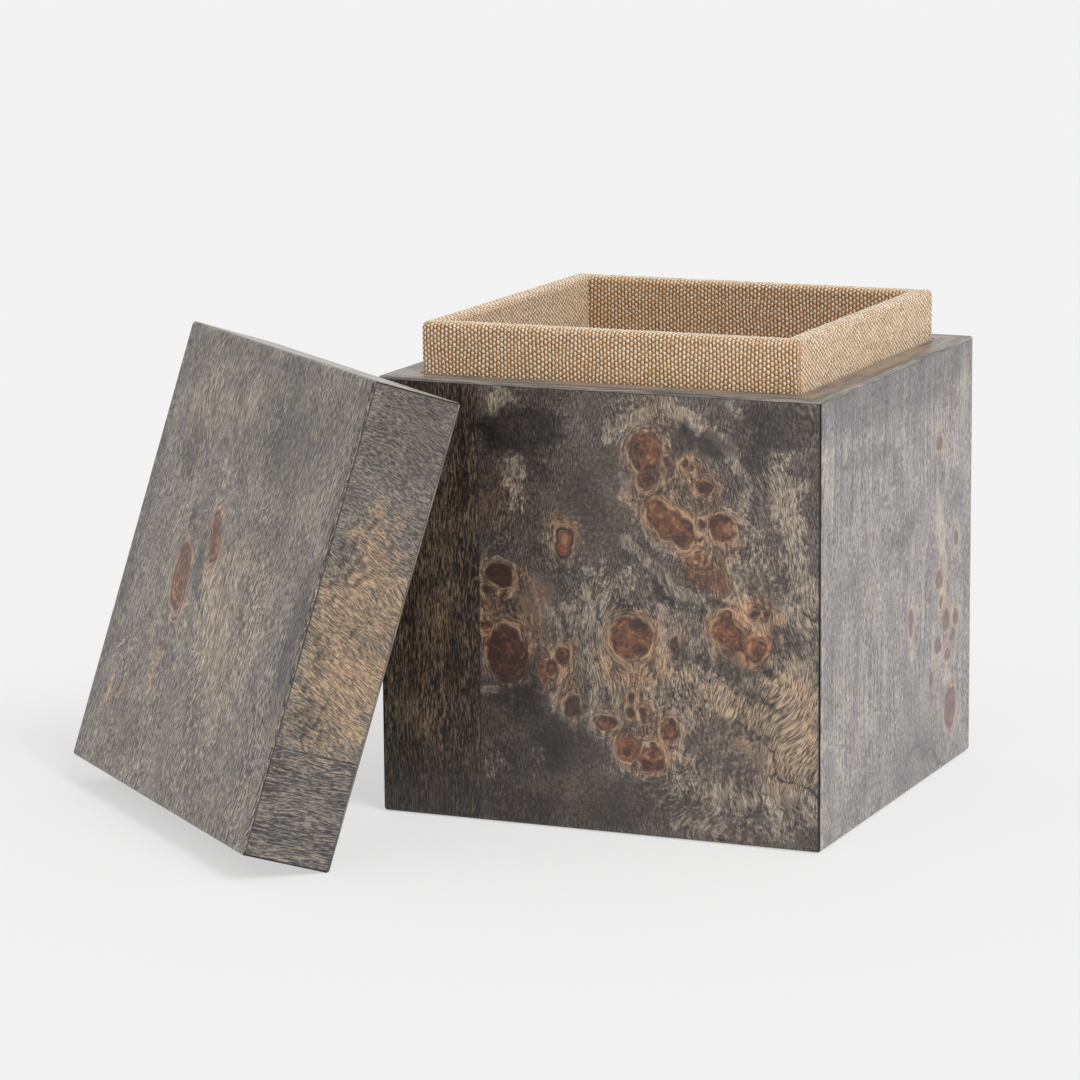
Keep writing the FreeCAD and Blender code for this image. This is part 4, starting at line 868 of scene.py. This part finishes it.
def makeFibreboard(name, pale, dark):
    # medium density fibreboard, machined and stained: matt, felted with fine pale and dark fibres
    material, tree, shader = startMaterial(name)
    where = addNode(tree, "TexCoord", out="Object")
    fibres, cloud = addGrain(tree, where, ([0.5 * mm] * 3, 3.0, 0.5), ([9 * mm] * 3, 2.0, 0.5))
    tone = addNode(tree, "Mix", {0: 0.35, 2: fibres, 3: cloud})
    board = addNode(tree, "ValToRGB", [tone], stops=[(0.4, dark), (0.6, pale)])
    bump = addNode(tree, "Bump", {"Strength": 0.5, "Distance": 0.05 * mm, "Height": fibres})
    setInputs(tree, shader, {"Base Color": board, "Normal": bump, "Roughness": 0.75})
    return material


def makeFelt(name, pale, dark):
    # pressed wool felt: dull, with tangled hairs and a soft edge to its light
    material, tree, shader = startMaterial(name)
    [tangle] = addGrain(tree, addNode(tree, "TexCoord", out="Object"), ([0.8 * mm] * 3, 4.0, 0.5))
    felt = addNode(tree, "ValToRGB", [tangle], stops=[(0.4, dark), (0.6, pale)])
    bump = addNode(tree, "Bump", {"Strength": 0.8, "Distance": 0.15 * mm, "Height": tangle})
    setInputs(tree, shader, {"Base Color": felt, "Normal": bump, "Roughness": 0.95, "Sheen Weight": 0.3})
    return material


def dress(material, *nodes):
    for node in nodes:
        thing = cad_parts[node]
        thing.data.materials.clear()
        thing.data.materials.append(material)


walls = ("front", "right", "back", "left")
for body in ("case", "lid"):
    for alongAxis, ends in (("x", ("front", "back")), ("y", ("left", "right"))):
        name = f"dyed poplar edging, sanded and lacquered, {body} {alongAxis}"
        edging = makeSolidWood(name, body, alongAxis, lippingDyes)
        dress(edging, *(f"{body}_rim_{end}_lipping" for end in ends))
dress(makeSolidWood("dyed poplar backing leaf, lacquered", "lid", "x", liningDyes), "lid_inner_veneer")
cores = [f"{body}_{side}_core" for body in ("case", "lid") for side in walls] + ["lid_top_core"]
dress(makeFibreboard("medium density fibreboard, stained charcoal", *boardColours["stained"]),
      *cores, "case_base_panel")
dress(makeFibreboard("grey board, pressed", *boardColours["grey"]),
      *(f"liner_{side}_board" for side in walls + ("floor",)))
dress(makeFelt("pressed wool felt, charcoal", *boardColours["felt"]), "base_felt")
print("carried-over nodes dressed")

# the woven cloth, folded over the liner's boards
cloth = {
    "warpMm": 0.93,        # pitch of the cream threads, which run up the walls
    "weftMm": 0.60,        # pitch of the tan threads that cross them
    "stepsPerWarp": 3, "stepsPerWeft": 3, "stepsPerWeftInside": 2,  # lines of the mesh per thread
    "seenDownMm": 14,      # outside, below this, the mesh has a line every so many threads,
    "hiddenStepWefts": 6,  # hidden between liner and case
    "fineDownToMm": 30,    # and inside, below this
    "deepStepWefts": 2,
    "foldMm": 1.4,         # radius of the roll over a board's edge
    "thickMm": 0.8,
    "underFoldMm": 0.4,    # and of the roll on the cloth's underside
    "reliefMm": 0.30,      # from the crown of a thread to the crossing
    "ovalWide": 0.42, "ovalLong": 0.98,  # half sizes of a cream oval, in threads across and along
    "tanHigh": 0.36,       # how high the tan threads stand where they cross over
    "wander": 0.1,         # how far the threads run off their lines, in threads
    "warpWaveMm": 9, "weftWaveMm": 7,    # and how long the waves are
    "spareMm": 0.3,        # what each wall is woven wider, to be cut at the mitre
    "slitMm": 0.05,        # half the gap left at each corner
    "sharpDegrees": 60,
    "creams": ("#cbaf84", "#eadabd", "#f8f0df"),  # of the warp, from its darkest threads to its palest
    "tans": ("#9b632e", "#d29b5e"),               # of the weft
    "gap": "#744317",                             # and of the hollows between the threads, where the tan weft is darkened by painted shade
}


def weaveRelief(warps, wefts):  # 0 on the crowns of the cream ovals, negative between them; places in threads
    column = np.floor(warps)
    sideways = (warps - column - 0.5) / cloth["ovalWide"]
    lengthways = (np.mod(wefts + column, 2) - 1) / cloth["ovalLong"]
    cream = 1 - sideways ** 2 - lengthways ** 2
    tan = cloth["tanHigh"] * np.sin(math.pi / 2 * (np.mod(wefts + column, 2) - 1)) ** 2
    return (np.maximum(np.maximum(cream, tan), 0) - 1) * cloth["reliefMm"] * mm


def markThreads(mesh, warps, wefts):  # keeps each point's place in the weave, in threads, as a UV map
    threads = mesh.uv_layers.new(name="threads")
    corners = np.zeros(len(mesh.loops), int)
    mesh.loops.foreach_get("vertex_index", corners)
    threads.data.foreach_set("uv", np.column_stack([warps, wefts])[corners].ravel())


def clothProfile(outer, inner, top, outerFoot, innerFoot):
    # rows of the skin, from the outer foot over the edge to the inner foot:
    # out, up, normal out, normal up and length so far
    fold, weft = cloth["foldMm"] * mm, cloth["weftMm"] * mm
    turn, quarter = top - fold, math.pi / 2 * fold
    fine, medium = weft / cloth["stepsPerWeft"], weft / cloth["stepsPerWeftInside"]
    turnSteps = round(quarter / fine)
    hidden = max(0.0, turn - outerFoot - cloth["seenDownMm"] * mm)
    near = min(turn - innerFoot, cloth["fineDownToMm"] * mm)
    outsideRows = [*np.arange(0, hidden, cloth["hiddenStepWefts"] * weft),
                   *np.arange(hidden, turn - outerFoot, fine)]
    topRows = [*np.arange(0, outer - inner - 2 * fold, fine)]
    insideRows = [*np.arange(0, near, medium),
                  *np.arange(near, turn - innerFoot - weft, cloth["deepStepWefts"] * weft)]
    runs = [  # start, end, normal and rows; a roll has its middle, no end, its first angle and its steps
        ((outer, outerFoot), (outer, turn), (1, 0), outsideRows),
        ((outer - fold, turn), None, 0, range(1, turnSteps)),
        ((outer - fold, top), (inner + fold, top), (0, 1), topRows),
        ((inner + fold, turn), None, 90, range(1, turnSteps)),
        ((inner, turn), (inner, innerFoot), (-1, 0), insideRows),
    ]
    rows, length = [], 0.0
    for start, end, way, places in runs:
        if end is None:
            for k in places:
                angle = math.radians(way + 90 * k / turnSteps)
                out, up = math.cos(angle), math.sin(angle)
                place = (start[0] + fold * out, start[1] + fold * up)
                rows.append((*place, out, up, length + quarter * k / turnSteps))
            length += quarter
            continue
        span = math.dist(start, end)
        for place in places + [span]:
            share = place / span
            out, up = (start[k] + (end[k] - start[k]) * share for k in (0, 1))
            rows.append((out, up, *way, length + place))
        length += span
    return rows, length


def addWallCloth(side, seed):
    node = f"liner_{side}_cloth"
    axes = facing("case", side)
    low, high = boxAlong(axes, node)
    fold, thick, underFold = (cloth[key] * mm for key in ("foldMm", "thickMm", "underFoldMm"))
    outer, inner, top, innerFoot = high[2], low[2], high[1], low[1]
    points = meshPoints(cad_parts[node].data) @ axes.T
    outerFoot = points[points[:, 2] > outer - 0.01 * mm, 1].min()  # the outer leg is the shorter one
    skin, length = clothProfile(outer, inner, top, outerFoot, innerFoot)
    innerLeg, outerLeg, under = inner + thick, outer - thick, top - thick
    back = [(innerLeg, innerFoot), (innerLeg, under - underFold), (innerLeg + underFold, under),
            (outerLeg - underFold, under), (outerLeg, under - underFold), (outerLeg, outerFoot)]
    rows = np.array(skin + [(*place, 0, 0, 0) for place in back] + [skin[0]])

    reach = outer + cloth["spareMm"] * mm
    columns = round(2 * reach / (cloth["warpMm"] * mm / cloth["stepsPerWarp"]))
    bm = bmesh.new()
    bmesh.ops.create_grid(bm, x_segments=columns, y_segments=len(rows) - 1, size=0.5)
    mesh = bpy.data.meshes.new(node + "_weave")
    bm.to_mesh(mesh)
    bm.free()
    counts = meshPoints(mesh)
    across = 2 * reach * counts[:, 0]
    row = np.rint((counts[:, 1] + 0.5) * (len(rows) - 1)).astype(int)
    out, up, normalOut, normalUp, lengths = rows[row].T
    acrossMm, lengthMm = across / mm, lengths / mm
    warps = (acrossMm / cloth["warpMm"] + 0.5 / cloth["stepsPerWarp"]
             + cloth["wander"] * softNoise(acrossMm, lengthMm, cloth["warpWaveMm"], seed))
    wefts = (lengthMm / cloth["weftMm"]
             + cloth["wander"] * softNoise(acrossMm, lengthMm, cloth["weftWaveMm"], seed + 1))
    relief = weaveRelief(warps, wefts)
    out, up = out + relief * normalOut, up + relief * normalUp
    corner = outer - fold  # the upright corners are rolled as well
    past = np.maximum(np.abs(across) - corner, 0)
    bend = (out > corner) & (past > 0)
    angle = np.arctan2(past, fold)
    rolled = np.where(bend, np.sign(across) * (corner + (out - corner) * np.sin(angle)), across)
    out = np.where(bend, corner + (out - corner) * np.cos(angle), out)
    mesh.vertices.foreach_set("co", np.column_stack([rolled, up, out]).ravel())
    markThreads(mesh, warps, wefts)

    bm = bmesh.new()
    bm.from_mesh(mesh)
    bmesh.ops.remove_doubles(bm, verts=bm.verts, dist=1e-6)
    for hand in (1, -1):  # cut along the mitre at each corner
        bmesh.ops.bisect_plane(bm, geom=bm.verts[:] + bm.edges[:] + bm.faces[:], dist=1e-7, clear_outer=True,
                               plane_co=(-hand * cloth["slitMm"] * mm, 0, 0), plane_no=(hand, 0, -1))
    bmesh.ops.holes_fill(bm, edges=[e for e in bm.edges if e.is_boundary], sides=0)
    bmesh.ops.recalc_face_normals(bm, faces=bm.faces)
    bm.to_mesh(mesh)
    bm.free()
    placeMesh(mesh, meshPoints(mesh) @ axes, cloth["sharpDegrees"])
    piece = addPiece(node + "_weave", mesh, wovenCloth, "case", "woven_cloth", node)
    print(piece.name, len(mesh.polygons), "faces")


def addFloorCloth():
    node = "liner_floor_cloth"
    low, high = boxAlong(bodyAxes["case"], node)
    spans = (high - low) / mm
    columns, rows = round(spans[0] / cloth["warpMm"] * 2), round(spans[1] / cloth["weftMm"] * 2)
    mesh = slabMesh(node + "_weave", columns, rows)
    counts = meshPoints(mesh)
    places = ((low + high) / 2)[:2] + counts[:, :2] * (high - low)[:2]
    warps, wefts = places[:, 0] / mm / cloth["warpMm"] + 0.25, places[:, 1] / mm / cloth["weftMm"]
    up = np.where(counts[:, 2] < -0.5, low[2], high[2] + weaveRelief(warps, wefts))
    placeMesh(mesh, np.column_stack([places, up]), cloth["sharpDegrees"])
    markThreads(mesh, warps, wefts)
    piece = addPiece(node + "_weave", mesh, wovenCloth, "case", "woven_cloth", node)


def makeWovenCloth(name):
    # plain-woven cotton and jute, undyed: cream warp ovals in a net of tan weft, matt and a little hairy
    material, tree, shader = startMaterial(name)
    threads = addNode(tree, "UVMap", uv_map="threads")
    warps, wefts = addNode(tree, "SeparateXYZ", [threads]).node.outputs[:2]
    column = addNode(tree, "Math", [warps], operation="FLOOR")
    fraction = addNode(tree, "Math", [warps], operation="FRACT")
    phase = addNode(tree, "Math", [wefts, column], operation="ADD")
    wrapped = addNode(tree, "Math", [phase, 2.0], operation="FLOORED_MODULO")

    # every thread its own tone, uneven along its length; sizes in threads
    warpPlace = addNode(tree, "CombineXYZ", [column, wefts, 7.3])
    [warpTone] = addGrain(tree, warpPlace, ((0.27, 6.0, 1), 2.0, 0.5))
    rowPlace = addNode(tree, "CombineXYZ", [warps, addNode(tree, "Math", [wefts], operation="FLOOR")])
    [weftTone] = addGrain(tree, rowPlace, ((9.0, 0.31, 1), 2.0, 0.5))
    tuft, bead = addGrain(tree, threads, ((0.2, 0.45, 1), 3.0, 0.5), ((0.8, 1.6, 1), 1.0, 0.5))

    # how high the cream and the tan threads stand, as in weaveRelief, with plumper and thinner ovals
    plump = addNode(tree, "MapRange", [bead, 0.3, 0.7, 0.76, 1.2])
    sideAway = addNode(tree, "Math", [fraction, 0.5], operation="SUBTRACT")
    sideScaled = addNode(tree, "Math", [sideAway, cloth["ovalWide"]], operation="DIVIDE")
    longAway = addNode(tree, "Math", [wrapped, 1.0], operation="SUBTRACT")
    longScaled = addNode(tree, "Math", [longAway, cloth["ovalLong"]], operation="DIVIDE")
    place = addNode(tree, "CombineXYZ", [sideScaled, longScaled])
    reach = addNode(tree, "VectorMath", [place], out="Value", operation="LENGTH")
    sized = addNode(tree, "Math", [reach, plump], operation="DIVIDE")
    oval = addNode(tree, "Math", [sized, 2.0], operation="POWER")
    creamHigh = addNode(tree, "Math", [1.0, oval], operation="SUBTRACT")
    quarter = addNode(tree, "Math", [longAway, math.pi / 2], operation="MULTIPLY")
    crossing = addNode(tree, "Math", [quarter], operation="SINE")
    crossed = addNode(tree, "Math", [crossing, crossing], operation="MULTIPLY")
    tanHigh = addNode(tree, "Math", [crossed, cloth["tanHigh"]], operation="MULTIPLY")
    ahead = addNode(tree, "Math", [creamHigh, tanHigh], operation="SUBTRACT")
    onTop = addNode(tree, "MapRange", [ahead, -0.1, 0.25], **eased)
    relief = addNode(tree, "Math", [creamHigh, tanHigh], operation="MAXIMUM")

    creamTone = addNode(tree, "Mix", {0: 0.55, 2: warpTone, 3: tuft})
    dark, middle, pale = cloth["creams"]
    creams = addNode(tree, "ValToRGB", [creamTone], stops=[(0.32, dark), (0.62, pale), (0.47, middle)])
    tanTone = addNode(tree, "Mix", {0: 0.5, 2: weftTone, 3: tuft})
    dark, pale = cloth["tans"]
    tans = addNode(tree, "ValToRGB", [tanTone], stops=[(0.36, dark), (0.64, pale)])
    # darker the lower the weave lies: painted shade in the hollows between the threads
    paintedHollowShade = addNode(tree, "MapRange", [relief, 0.42, 0.05, 0, 0.85], **eased)
    woven = layColours(tree, tans, (onTop, creams, "MIX"), (paintedHollowShade, toLinear(cloth["gap"]), "MIX"))
    hairy = addNode(tree, "Math", [tuft, 0.35, relief], operation="MULTIPLY_ADD")
    bump = addNode(tree, "Bump", {"Strength": 0.8, "Distance": 0.16 * mm, "Height": hairy})
    setInputs(tree, shader, {"Base Color": woven, "Normal": bump, "Roughness": 0.85, "Sheen Weight": 0.25,
                             "Sheen Roughness": 0.5})
    return material


wovenCloth = makeWovenCloth("cotton and jute, plain woven")
for k, side in enumerate(walls):
    addWallCloth(side, 10 * (k + 1))
addFloorCloth()
print("cloth woven")

# floor, light and camera
studio = {
    "paper": "#f2f2f2",       # floor and backdrop
    "shadowFade": 0.62,       # how far the paper's own light fills the shadows that the camera sees
    "skyStrength": 0.64,
    "sunStrength": 1.6, "sunDegrees": 30, "sunFrom": (0.72, -0.34, 0.9),
    "floorSize": 12.0,
}
camera = {
    "placeMm": (391.471, -988.924, 262.019), "lensMm": 149.384,
    "headingRad": -0.4095, "dipRad": 0.188, "rollRad": -0.0086,
}


def addStraightRays(tree):  # 1 for the rays that show the studio itself: seen, mirrored or through glass
    rays = addNode(tree, "LightPath").node.outputs
    direct = addNode(tree, "Math", [rays["Is Camera Ray"], rays["Is Glossy Ray"]], operation="MAXIMUM")
    return addNode(tree, "Math", [direct, rays["Is Transmission Ray"]], operation="MAXIMUM")


def addStudio():
    bm = bmesh.new()
    bmesh.ops.create_grid(bm, x_segments=1, y_segments=1, size=studio["floorSize"] / 2)
    mesh = bpy.data.meshes.new("floor")
    bm.to_mesh(mesh)
    bm.free()
    floor = bpy.data.objects.new("floor", mesh)
    bpy.context.scene.collection.objects.link(floor)
    # paper from a roll, uncoated: matt, and lit from within where it is seen, so that shadows stay pale
    material, tree, shader = startMaterial("seamless paper, matt")
    paper = toLinear(studio["paper"])
    setInputs(tree, shader, {"Base Color": paper, "Roughness": 0.95, "Specular IOR Level": 0.1})
    glow = addNode(tree, "Emission", {"Color": paper, "Strength": 1.0})
    fade = addNode(tree, "Math", [addStraightRays(tree), studio["shadowFade"]], operation="MULTIPLY")
    both = addNode(tree, "MixShader", [fade, shader.outputs[0], glow])
    setInputs(tree, tree.nodes["Material Output"], {"Surface": both})
    mesh.materials.append(material)

    world = bpy.data.worlds.new("studio")
    bpy.context.scene.world = world
    world.use_nodes = True
    tree = world.node_tree
    sky = tree.nodes["Background"]
    setInputs(tree, sky, {"Color": (1, 1, 1, 1), "Strength": studio["skyStrength"]})
    seen = addNode(tree, "Background", {"Color": paper, "Strength": 1.0})
    both = addNode(tree, "MixShader", [addStraightRays(tree), sky.outputs[0], seen])
    setInputs(tree, tree.nodes["World Output"], {"Surface": both})

    light = bpy.data.lights.new("softbox", "SUN")
    light.energy = studio["sunStrength"]
    light.angle = math.radians(studio["sunDegrees"])
    softbox = bpy.data.objects.new("softbox", light)
    softbox.rotation_euler = Vector(studio["sunFrom"]).to_track_quat("Z", "Y").to_euler()
    bpy.context.scene.collection.objects.link(softbox)


def addCamera():
    heading, dip, roll = (camera[key] for key in ("headingRad", "dipRad", "rollRad"))
    ahead = Vector((math.sin(heading) * math.cos(dip), math.cos(heading) * math.cos(dip), -math.sin(dip)))
    level = Vector((math.cos(heading), -math.sin(heading), 0))
    upright = level.cross(ahead)
    right = math.cos(roll) * level + math.sin(roll) * upright
    up = -math.sin(roll) * level + math.cos(roll) * upright
    data = bpy.data.cameras.new("camera")
    data.lens = camera["lensMm"]
    data.clip_start, data.clip_end = 0.01, 50
    eye = bpy.data.objects.new("camera", data)
    turned = Matrix((right, up, -ahead)).transposed().to_4x4()
    eye.matrix_world = Matrix.Translation(Vector(camera["placeMm"]) * mm) @ turned
    bpy.context.scene.collection.objects.link(eye)
    bpy.context.scene.camera = eye


addStudio()
addCamera()
bpy.context.scene.view_settings.view_transform = "Standard"
print("studio set")
